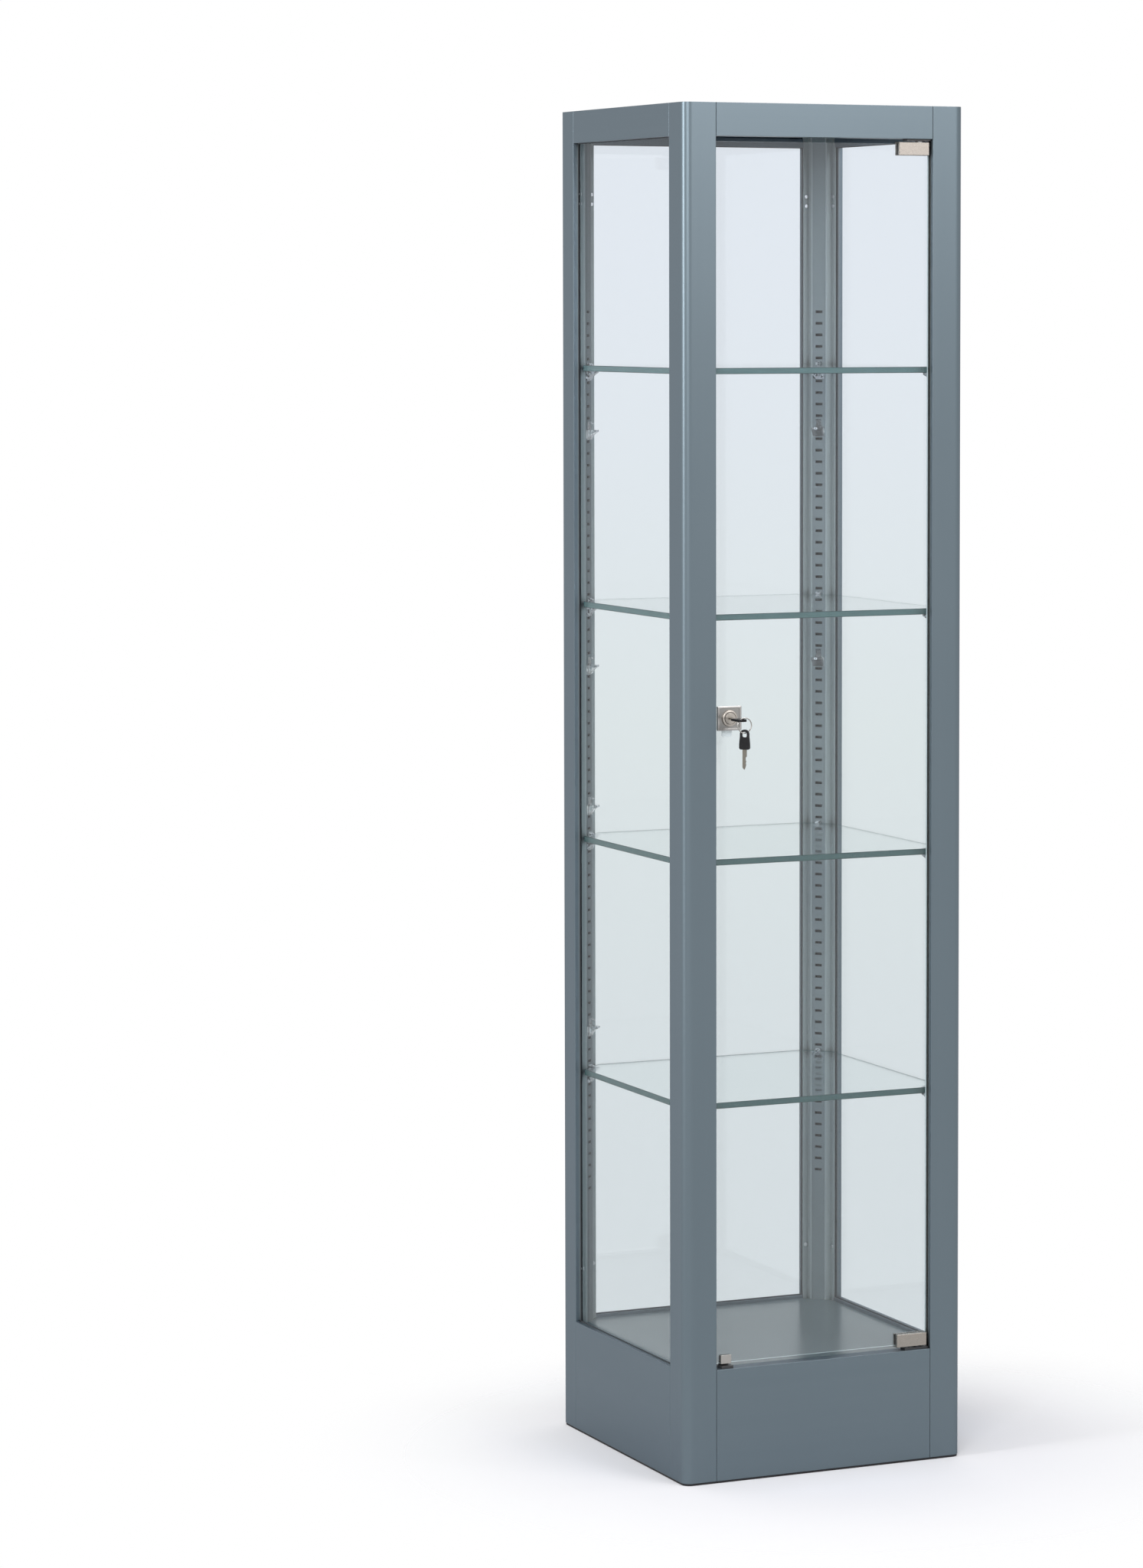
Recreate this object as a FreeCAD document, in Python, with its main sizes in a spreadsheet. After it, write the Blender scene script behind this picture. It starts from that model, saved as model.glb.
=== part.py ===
import FreeCAD, Part
import math
import os
from types import SimpleNamespace

import Sketcher

# Glass display cabinet, millimetres. X runs right along the front, -Y is the front, Z is up.
# The origin is on the floor under the middle of the cabinet.

driving_sizes = {
    # Whole cabinet
    "cabinet_width": 406.0,
    "cabinet_depth": 406.0,
    "cabinet_height": 1800.0,
    "base_thickness": 3.0,
    "base_inset": 1.0,
    # Corner posts, measured from the outer corner
    "post_face": 46.0,
    "corner_radius": 12.0,
    "wall": 2.0,
    "arris": 0.4,
    "glazing_inset": 7.0,
    "groove_width": 5.0,
    "groove_depth": 12.0,
    "flange_thickness": 1.5,
    "flange_reach": 7.7,
    "shoulder_depth": 22.0,
    "cap_height": 6.0,
    "fit_gap": 0.15,
    # Slotted strips on the slanted inner faces
    "strip_face": 19.0,
    "strip_thickness": 2.0,
    "strip_undercut": 1.0,
    "strip_gap": 0.1,
    "channel_width": 14.0,
    "channel_depth": 6.0,
    "slot_width": 10.0,
    "slot_height": 3.6,
    "slot_pitch": 16.0,
    "slot_count": 76,
    "slot_first": 330.0,
    # Header and plinth rails
    "header_height": 43.0,
    "plinth_top": 150.0,
    "seam_gap": 0.3,
    "rail_groove": 10.0,
    "rail_foot": 14.0,
    "ledge_width": 12.0,
    "sill_depth": 20.0,
    "sill_ledge": 10.0,
    "lintel_lip": 8.0,
    # Roof, deck and hidden corner angles
    "roof_thickness": 4.0,
    "deck_thickness": 4.0,
    "deck_drop": 4.0,
    "panel_gap": 0.3,
    "deck_corner_gap": 0.6,
    "angle_leg": 16.0,
    "angle_height": 16.0,
    "angle_level": 62.0,
    # Panes
    "pane_thickness": 4.0,
    "pane_bite": 8.0,
    "gasket_thickness": 0.9,
    "gasket_reveal": 1.2,
    "pane_screw_offset": 42.0,
    "pane_screw_rise": 72.0,
    "pane_screw_drop": 68.0,
    "pane_screw_pair": 13.0,
    "pane_screw_head": 5.0,
    "pane_screw_head_height": 1.5,
    "pane_screw_shank": 3.0,
    # Glass shelves and clips
    "shelf_thickness": 8.0,
    "shelf_side_gap": 1.5,
    "shelf_front_inset": 25.0,
    "shelf_corner_gap": 2.3,
    "first_shelf_slot_count": 10,
    "shelf_spacing_slot_count": 20,
    "shelf_count": 4,
    "glass_arris": 0.5,
    "clip_width": 16.0,
    "clip_round": 4.0,
    "clip_hook_width": 9.4,
    "clip_lip_width": 6.4,
    "clip_plate": 2.0,
    "clip_arm": 13.0,
    "clip_arm_tip": 2.4,
    "clip_drop": 13.0,
    "clip_sweep": 16.0,
    "clip_lip": 5.0,
    "clip_lip_rise": 3.0,
    "clip_grip_gap": 0.3,
    "clip_hook": 3.2,
    "clip_hook_reach": 4.2,
    "clip_hook_rise": 3.4,
    "clip_hook_gap": 0.3,
    # Door leaf
    "door_gap": 2.0,
    "door_inset": 9.5,
    "door_thickness": 5.0,
    # Pivot hinges
    "hinge_gap": 4.2,
    "pivot_inset": 12.0,
    "clamp_length": 44.2,
    "clamp_end": 1.3,
    "clamp_height": 17.5,
    "clamp_front": 5.0,
    "clamp_rear": 3.0,
    "clamp_bridge": 2.0,
    "clamp_bevel": 0.6,
    "liner": 0.5,
    "clamp_screw_margin": 12.0,
    "clamp_screw_level": 10.0,
    "clamp_screw_radius": 2.0,
    "clamp_screw_head_radius": 3.2,
    "clamp_screw_head": 1.2,
    "tenon_radius": 2.0,
    "pin_radius": 3.0,
    "pin_clearance": 0.05,
    "pin_collar_radius": 5.0,
    "pin_collar": 0.8,
    "pin_reach": 5.0,
    "bush_radius": 4.5,
    "bush_flange_radius": 6.0,
    "bush_flange": 0.7,
    "bush_reach": 6.0,
    "bracket_thickness": 2.5,
    "bracket_length": 35.0,
    "bracket_width": 14.0,
    "bracket_end": 0.5,
    "bracket_screw_margin": 4.5,
    "bracket_screw_spacing": 9.0,
    "bracket_screw_head_radius": 3.0,
    "bracket_screw_head": 1.2,
    "bracket_screw_radius": 1.5,
    "bracket_screw_length": 8.0,
    # Lock in the door
    "lock_inset": 20.0,
    "lock_height": 1003.6,
    "lock_plate_width": 35.0,
    "lock_plate_height": 32.0,
    "lock_plate": 3.0,
    "lock_plate_radius": 1.5,
    "lock_plate_bevel": 0.9,
    "lock_plate_border": 3.0,
    "lock_plate_sink": 0.6,
    "rose_radius": 10.75,
    "rose_rise": 3.0,
    "rose_round": 1.6,
    "rose_bezel_drop": 0.7,
    "rose_groove_radius": 7.4,
    "rose_groove_width": 0.8,
    "rose_groove_depth": 1.3,
    "barrel_radius": 9.0,
    "barrel_gap": 0.5,
    "barrel_reach": 2.2,
    "nut_across_flats": 24.0,
    "nut_thickness": 2.0,
    "thread_gap": 0.02,
    "cylinder_radius": 5.95,
    "cylinder_clearance": 0.05,
    "cylinder_rise": 0.5,
    "cylinder_reach": 2.4,
    "drive_width": 6.0,
    "drive_gap": 0.05,
    "cam_thickness": 2.0,
    "cam_width": 14.0,
    "cam_head": 8.0,
    "cam_reach": 24.8,
    "cam_round": 3.0,
    "cam_screw_radius": 1.5,
    "cam_screw_length": 2.4,
    "cam_screw_head_radius": 4.2,
    "cam_screw_head": 2.0,
    # Keys and ring
    "key_gap": 20.5,
    "keyway_depth": 13.0,
    "keyway_gap": 0.2,
    "blade_length": 26.0,
    "blade_width": 5.4,
    "blade_thickness": 2.0,
    "blade_root": 5.0,
    "blade_step": 9.0,
    "blade_notch": 1.5,
    "bow_length": 26.0,
    "bow_width": 14.4,
    "bow_tip_width": 12.4,
    "bow_taper_near": 7.0,
    "bow_taper_far": 17.0,
    "bow_thickness": 3.0,
    "bow_shoulder_radius": 2.5,
    "bow_tip_radius": 6.0,
    "bow_hole_place": 18.0,
    "bow_hole_length": 8.0,
    "bow_hole_width": 8.0,
    "bow_rim": 2.6,
    "spare_hole_width": 6.6,
    "spare_hole_length": 7.0,
    "spare_rim": 3.0,
    "ring_radius": 9.75,
    "ring_wire": 0.75,
    "ring_drop": 6.8,
    "spare_ring_gap": 0.8,
    "spare_turn": 45.0,
    # Magnetic catch
    "catch_place": 15.5,
    "catch_width": 15.0,
    "catch_clip_wall": 1.2,
    "catch_clip_height": 11.5,
    "catch_base_width": 17.0,
    "catch_base_depth": 15.6,
    "catch_base_thickness": 3.2,
    "catch_base_front": 4.0,
    "magnet_width": 13.0,
    "magnet_thickness": 3.5,
    "magnet_height": 11.8,
}

root_half = math.sqrt(0.5)
root_two = math.sqrt(2.0)
half_turn = 180.0

document = FreeCAD.newDocument("display_cabinet")
sheet = document.addObject("Spreadsheet::Sheet", "Sizes")


# A length that carries its number and its formula on the sheet.
class Size:
    def __init__(self, value, text):
        self.value = float(value)
        self.text = text

    def join(self, other, sign, value, swapped=False):
        texts = [self.text, text_of(other)]
        if swapped:
            texts.reverse()
        return Size(value, "(" + texts[0] + " " + sign + " " + texts[1] + ")")

    def __add__(self, other):
        return self.join(other, "+", self.value + number(other))

    def __radd__(self, other):
        return self.join(other, "+", number(other) + self.value, True)

    def __sub__(self, other):
        return self.join(other, "-", self.value - number(other))

    def __rsub__(self, other):
        return self.join(other, "-", number(other) - self.value, True)

    def __mul__(self, other):
        return self.join(other, "*", self.value * number(other))

    def __rmul__(self, other):
        return self.join(other, "*", number(other) * self.value, True)

    def __truediv__(self, other):
        return self.join(other, "/", self.value / number(other))

    def __neg__(self):
        return self * -1


def number(length):
    return length.value if isinstance(length, Size) else float(length)


def text_of(length):
    return length.text if isinstance(length, Size) else repr(float(length))


def fill_sheet():
    named = {}
    for row, (name, value) in enumerate(driving_sizes.items(), start=1):
        sheet.set("A%d" % row, name)
        sheet.set("B%d" % row, repr(value))
        sheet.setAlias("B%d" % row, name)
        named[name] = Size(value, "Sizes." + name)
    document.recompute()
    return SimpleNamespace(**named)


size = fill_sheet()
nodes = []


# Shared modelling steps

def bind(target, path, length):
    if isinstance(length, Size):
        target.setExpression(path, length.text)


def new_body(label):
    body = document.addObject("PartDesign::Body", label)
    body.Label = label
    return body


def origin_feature(body, role):
    return next(feature for feature in body.Origin.OriginFeatures if feature.Role == role)


def new_sketch(body, role, lift=0.0):
    sketch = body.newObject("Sketcher::SketchObject", body.Name + "_sketch")
    sketch.AttachmentSupport = [(origin_feature(body, role), "")]
    sketch.MapMode = "FlatFace"
    sketch.AttachmentOffset = FreeCAD.Placement(
        FreeCAD.Vector(0, 0, number(lift)), FreeCAD.Rotation())
    bind(sketch, "AttachmentOffset.Base.z", lift)
    return sketch


def flat(point):
    return FreeCAD.Vector(number(point[0]), number(point[1]), 0)


def sign_of(length):
    return (length > 0) - (length < 0)


# Corner of an outline: (x, y) is sharp, (x, y, radius) is a rounded right angle.
def corner_points(before, corner, after):
    if len(corner) == 2:
        return [corner]
    x, y, radius = corner
    ends = []
    for other in (before, after):
        toward = flat(other) - flat(corner)
        ends.append((x + radius * sign_of(toward.x), y + radius * sign_of(toward.y)))
    return ends


def corner_arc(start, middle, end, radius):
    entering = flat(middle) - flat(start)
    leaving = flat(end) - flat(middle)
    turns_left = entering.x * leaving.y - entering.y * leaving.x > 0
    centre = flat(start) + leaving
    circle = Part.Circle(centre, FreeCAD.Vector(0, 0, 1), number(radius))
    ends = [flat(start), flat(end)] if turns_left else [flat(end), flat(start)]
    angles = [math.atan2(point.y - centre.y, point.x - centre.x) for point in ends]
    return Part.ArcOfCircle(circle, angles[0], angles[1]), turns_left


# Arc from one point to the next about a centre to the right of the way along.
def sweep_arc(start, end, radius):
    chord = flat(end) - flat(start)
    reach = math.sqrt(number(radius) ** 2 - (chord.Length / 2) ** 2)
    side = FreeCAD.Vector(chord.y, -chord.x, 0).normalize()
    centre = (flat(start) + flat(end)) * 0.5 + side * reach
    circle = Part.Circle(centre, FreeCAD.Vector(0, 0, 1), number(radius))
    angles = [math.atan2(point.y - centre.y, point.x - centre.x) for point in (flat(end), flat(start))]
    return Part.ArcOfCircle(circle, angles[0], angles[1])


# Closed outline whose every corner is tied to the sheet. sweeps gives, by corner number, the radius of an
# arc that takes the place of the straight edge after that corner.
def outline(sketch, corners, sweeps=None):
    sweeps = sweeps or {}
    points = []
    edges = []
    for index, corner in enumerate(corners):
        before = corners[index - 1]
        after = corners[(index + 1) % len(corners)]
        ends = corner_points(before, corner, after)
        if len(ends) == 2:
            edges.append((len(points), "round", corner))
        points.extend(ends)
        edges.append((len(points) - 1, "sweep" if index in sweeps else "line", sweeps.get(index)))
    first = sketch.GeometryCount
    rules = []
    ties = []
    starts = []
    for place, kind, detail in edges:
        start = points[place]
        end = points[(place + 1) % len(points)]
        index = sketch.GeometryCount
        forward = True
        if kind == "line":
            sketch.addGeometry(Part.LineSegment(flat(start), flat(end)), False)
        elif kind == "round":
            arc, forward = corner_arc(start, detail[:2], end, detail[2])
            sketch.addGeometry(arc, False)
            ties.append((Sketcher.Constraint("Radius", index, number(detail[2])), detail[2]))
        else:
            sketch.addGeometry(sweep_arc(start, end, detail), False)
            forward = False
            ties.append((Sketcher.Constraint("Radius", index, number(detail)), detail))
        starts.append((index, 1 if forward else 2, 2 if forward else 1))
    for order, (index, begin, finish) in enumerate(starts):
        follower, follower_begin, unused_end = starts[(order + 1) % len(starts)]
        rules.append((Sketcher.Constraint("Coincident", index, finish, follower, follower_begin), None))
        x, y = points[edges[order][0]]
        rules.append((Sketcher.Constraint("DistanceX", -1, 1, index, begin, number(x)), x))
        rules.append((Sketcher.Constraint("DistanceY", -1, 1, index, begin, number(y)), y))
    apply_rules(sketch, rules + ties)
    return first


def apply_rules(sketch, rules):
    added = sketch.addConstraint([rule for rule, length in rules])
    for index, (rule, length) in zip(added, rules):
        bind(sketch, "Constraints[%d]" % index, length)


def circle(sketch, x, y, radius):
    index = sketch.addGeometry(Part.Circle(flat((x, y)), FreeCAD.Vector(0, 0, 1), number(radius)), False)
    apply_rules(sketch, [
        (Sketcher.Constraint("DistanceX", -1, 1, index, 3, number(x)), x),
        (Sketcher.Constraint("DistanceY", -1, 1, index, 3, number(y)), y),
        (Sketcher.Constraint("Radius", index, number(radius)), radius),
    ])


def rectangle(sketch, left, bottom, right, top, radius=None):
    corners = [(left, bottom), (right, bottom), (right, top), (left, top)]
    if radius is not None:
        corners = [corner + (radius,) for corner in corners]
    outline(sketch, corners)


def pad(body, sketch, length, backward=False, centred=False):
    feature = body.newObject("PartDesign::Pad", body.Name + "_pad")
    feature.Profile = sketch
    feature.Length = number(length)
    bind(feature, "Length", length)
    feature.Reversed = backward
    if centred:
        feature.SideType = "Symmetric"
    return feature


# Cut along the sketch's own depth, checked to take material away.
def pocket(body, sketch, length, backward=False):
    document.recompute()
    before = body.Shape.Volume
    feature = body.newObject("PartDesign::Pocket", body.Name + "_pocket")
    feature.Profile = sketch
    feature.Length = number(length)
    bind(feature, "Length", length)
    feature.Reversed = backward
    document.recompute()
    if body.Shape.Volume >= before:
        raise RuntimeError("a pocket in %s cuts nothing" % body.Label)
    return feature


def revolve(body, sketch, axis):
    feature = body.newObject("PartDesign::Revolution", body.Name + "_revolution")
    feature.Profile = sketch
    feature.ReferenceAxis = (sketch, [axis])
    feature.Angle = 2 * half_turn
    return feature


def bevel(body, edge_names, width):
    base = body.Tip
    feature = body.newObject("PartDesign::Chamfer", body.Name + "_bevel")
    feature.Base = (base, edge_names)
    feature.Size = number(width)
    bind(feature, "Size", width)
    return feature


# Names of the flat faces of a body that look along a direction and lie furthest that way.
def far_face(body, direction):
    document.recompute()
    reach = [face.CenterOfMass.dot(direction) for face in body.Shape.Faces]
    return "Face%d" % (reach.index(max(reach)) + 1)


# Names of a body's edges whose middle passes a test.
def edges_where(body, test):
    document.recompute()
    names = []
    for index, edge in enumerate(body.Shape.Edges, start=1):
        if test(edge):
            names.append("Edge%d" % index)
    return names


def mirror(body, role):
    feature = body.newObject("PartDesign::Mirrored", body.Name + "_mirror")
    feature.TransformMode = "Whole shape"
    feature.MirrorPlane = (origin_feature(body, role), [""])
    body.Tip = feature
    return feature


def row(body, feature, role, pitch, count, whole=False):
    pattern = body.newObject("PartDesign::LinearPattern", body.Name + "_row")
    if whole:
        pattern.TransformMode = "Whole shape"
    else:
        pattern.Originals = [feature]
    pattern.Direction = (origin_feature(body, role), [""])
    pattern.Mode = "Spacing"
    pattern.Offset = number(pitch)
    bind(pattern, "Offset", pitch)
    pattern.Occurrences = int(number(count))
    bind(pattern, "Occurrences", count)
    body.Tip = pattern
    return pattern


def place(piece, x, y, z, turn=0.0, axis=(0, 0, 1)):
    piece.Placement = FreeCAD.Placement(
        FreeCAD.Vector(number(x), number(y), number(z)),
        FreeCAD.Rotation(FreeCAD.Vector(*axis), number(turn)))
    for name, length in (("x", x), ("y", y), ("z", z)):
        bind(piece, "Placement.Base." + name, length)
    bind(piece, "Placement.Rotation.Angle", turn)


def group(label, members):
    compound = document.addObject("Part::Compound", label)
    compound.Label = label
    compound.Links = members
    return compound


# Lengths that several pieces share
half_width = size.cabinet_width / 2
half_depth = size.cabinet_depth / 2
header_bottom = size.cabinet_height - size.header_height
plinth_height = size.plinth_top - size.base_thickness
post_height = size.cabinet_height - size.base_thickness
groove_far = size.glazing_inset + size.groove_width
flange_face = groove_far + size.flange_thickness
groove_root = size.post_face - size.groove_depth
step_wall = size.post_face - size.flange_reach
slant_middle = (step_wall + size.shoulder_depth) / 2
slant_sum = step_wall + size.shoulder_depth
opening_width = size.cabinet_width - 2 * size.post_face
opening_depth = size.cabinet_depth - 2 * size.post_face
opening_height = header_bottom - size.plinth_top

# Corners of the cabinet: name, side in X, side in Y, turn of the post
cabinet_corners = (
    ("front_left", -1, -1, 0.0),
    ("front_right", 1, -1, 90.0),
    ("rear_right", 1, 1, 180.0),
    ("rear_left", -1, 1, 270.0),
)


# Point on a post's slanted face: along the face from its middle, and into the metal.
def on_slant(along, depth):
    return (slant_middle - (along + depth) * root_half, slant_middle + (along - depth) * root_half)


# Corner posts

def post_outline():
    mouth = size.strip_face / 2
    seat = mouth + size.strip_undercut
    channel = size.channel_width / 2
    floor = size.strip_thickness + size.channel_depth
    lower = [
        (0.0, 0.0, size.corner_radius),
        (size.post_face - size.arris, 0.0),
        (size.post_face, size.arris),
        (size.post_face, size.glazing_inset),
        (groove_root, size.glazing_inset),
        (groove_root, groove_far),
        (size.post_face, groove_far),
        (size.post_face, flange_face),
        (step_wall, flange_face),
        (step_wall, size.shoulder_depth),
        on_slant(-mouth, 0.0),
        on_slant(-seat, size.strip_thickness),
        on_slant(-channel, size.strip_thickness),
        on_slant(-channel, floor),
    ]
    upper = [(corner[1], corner[0]) for corner in reversed(lower[1:])]
    return lower + upper


def chamber_outline(gap):
    inner = size.wall + gap
    far = groove_root - size.wall - gap
    floor = size.strip_thickness + size.channel_depth
    slant = 2 * slant_middle - 2 * root_half * floor - root_two * (size.wall + gap)
    return [
        (inner, inner, size.corner_radius - inner),
        (far, inner),
        (far, slant - far),
        (slant - far, far),
        (inner, far),
    ]


pane_screw_levels = (
    size.plinth_top + size.pane_screw_rise,
    header_bottom - size.pane_screw_drop - size.pane_screw_pair,
    header_bottom - size.pane_screw_drop,
)


# Holes for the pane screws through one of a post's two glazing flanges.
def drill_flange(body, across_x):
    start = flange_face + size.wall / 2
    role = "YZ_Plane" if across_x else "XZ_Plane"
    sketch = new_sketch(body, role, start if across_x else -start)
    for level in pane_screw_levels:
        circle(sketch, size.pane_screw_offset, level - size.base_thickness,
               size.pane_screw_shank / 2 + size.fit_gap)
    pocket(body, sketch, size.flange_thickness + size.wall, backward=not across_x)


def make_posts():
    drilled = {"front_left": (True,), "front_right": (False,)}
    for name, side_x, side_y, turn in cabinet_corners:
        body = new_body("post_" + name)
        sketch = new_sketch(body, "XY_Plane")
        outline(sketch, post_outline())
        outline(sketch, chamber_outline(0.0))
        pad(body, sketch, post_height)
        for across_x in drilled.get(name, (True, False)):
            drill_flange(body, across_x)
        place(body, half_width * side_x, half_depth * side_y, size.base_thickness, turn)
        nodes.append(body)


# Slotted strips, dovetailed into the slanted faces

def make_strips():
    mouth = size.strip_face / 2 - size.strip_gap
    seat = mouth + size.strip_undercut
    for name, side_x, side_y, turn in cabinet_corners:
        body = new_body("slotted_strip_" + name)
        sketch = new_sketch(body, "XY_Plane")
        outline(sketch, [(mouth, 0.0), (-mouth, 0.0), (-seat, -size.strip_thickness),
                         (seat, -size.strip_thickness)])
        pad(body, sketch, post_height)
        slots = new_sketch(body, "XZ_Plane")
        low = size.slot_first - size.base_thickness - size.slot_height / 2
        rectangle(slots, -size.slot_width / 2, low, size.slot_width / 2, low + size.slot_height)
        cut = pocket(body, slots, size.strip_thickness + size.wall, backward=True)
        row(body, cut, "Z_Axis", size.slot_pitch, size.slot_count)
        place(body, (half_width - slant_middle) * side_x, (half_depth - slant_middle) * side_y,
              size.base_thickness, turn - 45.0)
        nodes.append(body)


# End caps that close the tops of the posts

def make_caps():
    body = new_body("post_caps")
    sketch = new_sketch(body, "XY_Plane")
    corners = []
    for corner in chamber_outline(size.fit_gap):
        moved = (corner[0] - half_width, corner[1] - half_depth)
        corners.append(moved + corner[2:])
    outline(sketch, corners)
    pad(body, sketch, size.cap_height)
    mirror(body, "YZ_Plane")
    mirror(body, "XZ_Plane")
    place(body, 0.0, 0.0, size.cabinet_height - size.cap_height)
    nodes.append(body)


# Rails: the profile is drawn as depth from the outer face and height, then run along the side

def glazed_header_outline():
    block = size.rail_groove + size.wall
    ledge = size.header_height - size.roof_thickness
    return [
        (0.0, 0.0), (size.glazing_inset, 0.0), (size.glazing_inset, size.rail_groove),
        (groove_far, size.rail_groove), (groove_far, 0.0), (flange_face, 0.0), (flange_face, block),
        (size.wall, block), (size.wall, ledge - size.wall),
        (size.wall + size.ledge_width, ledge - size.wall), (size.wall + size.ledge_width, ledge),
        (size.wall, ledge), (size.wall, size.header_height), (0.0, size.header_height),
    ]


def door_header_outline():
    ledge = size.header_height - size.roof_thickness
    deep = size.sill_depth + size.wall
    return [
        (0.0, 0.0), (deep, 0.0), (deep, size.lintel_lip), (size.sill_depth, size.lintel_lip),
        (size.sill_depth, size.wall), (size.wall, size.wall), (size.wall, ledge - size.wall),
        (size.wall + size.ledge_width, ledge - size.wall), (size.wall + size.ledge_width, ledge),
        (size.wall, ledge), (size.wall, size.header_height), (0.0, size.header_height),
    ]


deck_bottom = size.plinth_top - size.deck_drop - size.deck_thickness


def glazed_plinth_outline():
    ledge = deck_bottom - size.base_thickness
    groove_floor = plinth_height - size.rail_groove
    block = groove_floor - size.wall
    return [
        (0.0, 0.0), (size.rail_foot, 0.0), (size.rail_foot, size.wall), (size.wall, size.wall),
        (size.wall, block), (flange_face, block), (flange_face, ledge - size.wall),
        (flange_face + size.ledge_width, ledge - size.wall), (flange_face + size.ledge_width, ledge),
        (flange_face, ledge), (flange_face, plinth_height), (groove_far, plinth_height),
        (groove_far, groove_floor), (size.glazing_inset, groove_floor),
        (size.glazing_inset, plinth_height), (0.0, plinth_height),
    ]


def door_plinth_outline():
    ledge = deck_bottom - size.base_thickness
    inner = size.sill_depth - size.wall
    return [
        (0.0, 0.0), (size.rail_foot, 0.0), (size.rail_foot, size.wall), (size.wall, size.wall),
        (size.wall, plinth_height - size.wall), (inner, plinth_height - size.wall),
        (inner, ledge - size.wall), (size.sill_depth + size.sill_ledge, ledge - size.wall),
        (size.sill_depth + size.sill_ledge, ledge), (size.sill_depth, ledge),
        (size.sill_depth, plinth_height), (0.0, plinth_height),
    ]


rail_start = size.post_face + size.seam_gap
rail_along_x = size.cabinet_width - 2 * rail_start
rail_along_y = size.cabinet_depth - 2 * rail_start

# Sides of the cabinet: name, start of the rail in X and Y, turn, length
cabinet_sides = (
    ("front", rail_start - half_width, -half_depth, 0.0, rail_along_x),
    ("right", half_width, rail_start - half_depth, 90.0, rail_along_y),
    ("rear", half_width - rail_start, half_depth, 180.0, rail_along_x),
    ("left", -half_width, half_depth - rail_start, 270.0, rail_along_y),
)

pivot_x = half_width - size.post_face - size.door_gap - size.pivot_inset
pivot_depth = size.door_inset + size.door_thickness / 2
bracket_right = half_width - size.post_face - size.bracket_end
bracket_left = bracket_right - size.bracket_length
bracket_screw_places = (
    bracket_left + size.bracket_screw_margin,
    bracket_left + size.bracket_screw_margin + size.bracket_screw_spacing,
)


# Holes for the pivot bush and the bracket screws in the rail above or below the door.
def drill_pivot_rail(body, lift, backward):
    sketch = new_sketch(body, "XY_Plane", lift)
    start = rail_start - half_width
    circle(sketch, pivot_x - start, pivot_depth, size.bush_radius + size.fit_gap)
    for across in bracket_screw_places:
        circle(sketch, across - start, pivot_depth, size.bracket_screw_radius + size.fit_gap)
    pocket(body, sketch, 2 * size.wall, backward)


def make_rails():
    for name, x, y, turn, length in cabinet_sides:
        at_door = name == "front"
        for level in ("header", "plinth"):
            body = new_body(level + "_" + name)
            sketch = new_sketch(body, "YZ_Plane")
            if level == "header":
                outline(sketch, door_header_outline() if at_door else glazed_header_outline())
                bottom = header_bottom
            else:
                outline(sketch, door_plinth_outline() if at_door else glazed_plinth_outline())
                bottom = size.base_thickness
            pad(body, sketch, length)
            run = number(length)
            ends = edges_where(body, lambda edge: edge.Length > number(size.rail_foot)
                               and abs(edge.CenterOfMass.y) < 1e-6
                               and min(abs(edge.CenterOfMass.x), abs(edge.CenterOfMass.x - run)) < 1e-6)
            bevel(body, ends, size.arris)
            if at_door and level == "header":
                drill_pivot_rail(body, 0.0, True)
            if at_door and level == "plinth":
                drill_pivot_rail(body, plinth_height, False)
            place(body, x, y, bottom, turn)
            nodes.append(body)


# Base board, deck, roof and the angles that tie the rails to the posts

def make_panels():
    base = new_body("base_board")
    sketch = new_sketch(base, "XY_Plane")
    across = half_width - size.base_inset
    along = half_depth - size.base_inset
    rectangle(sketch, -across, -along, across, along, size.corner_radius - size.base_inset)
    pad(base, sketch, size.base_thickness)
    nodes.append(base)

    deck = new_body("deck_panel")
    sketch = new_sketch(deck, "XY_Plane")
    outline(sketch, cut_corner_outline(
        flange_face + size.panel_gap, size.sill_depth + size.panel_gap, flange_face + size.panel_gap,
        slant_sum + size.deck_corner_gap * root_two))
    pad(deck, sketch, size.deck_thickness)
    place(deck, 0.0, 0.0, deck_bottom)
    nodes.append(deck)

    roof = new_body("roof_panel")
    sketch = new_sketch(roof, "XY_Plane")
    edge = size.wall + size.panel_gap
    notch = size.post_face + size.panel_gap
    inner = flange_face + size.panel_gap
    step = step_wall + size.panel_gap
    slant = slant_sum + size.panel_gap * root_two - step
    depths = [(edge, notch), (inner, notch), (inner, step), (slant, step)]
    depths += [(along, across) for across, along in reversed(depths)]
    quarter = [(half_width - across, half_depth - along) for across, along in depths]
    corners = list(quarter)
    corners += [(-x, y) for x, y in reversed(quarter)]
    corners += [(-x, -y) for x, y in quarter]
    corners += [(x, -y) for x, y in reversed(quarter)]
    outline(sketch, corners)
    pad(roof, sketch, size.roof_thickness)
    place(roof, 0.0, 0.0, size.cabinet_height - size.roof_thickness)
    nodes.append(roof)


# Plate with its four corners cut along the slanted posts: edge is the depth from the side faces, front
# and rear from the front and rear faces, corner the sum of both depths on the slanted cut.
def cut_corner_outline(edge, front, rear, corner):
    side = half_width - edge
    near = front - half_depth
    far = half_depth - rear
    near_cut = half_width - (corner - front)
    far_cut = half_width - (corner - rear)
    near_side = (corner - edge) - half_depth
    far_side = half_depth - (corner - edge)
    return [
        (-near_cut, near), (near_cut, near), (side, near_side), (side, far_side),
        (far_cut, far), (-far_cut, far), (-side, far_side), (-side, near_side),
    ]


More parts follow.
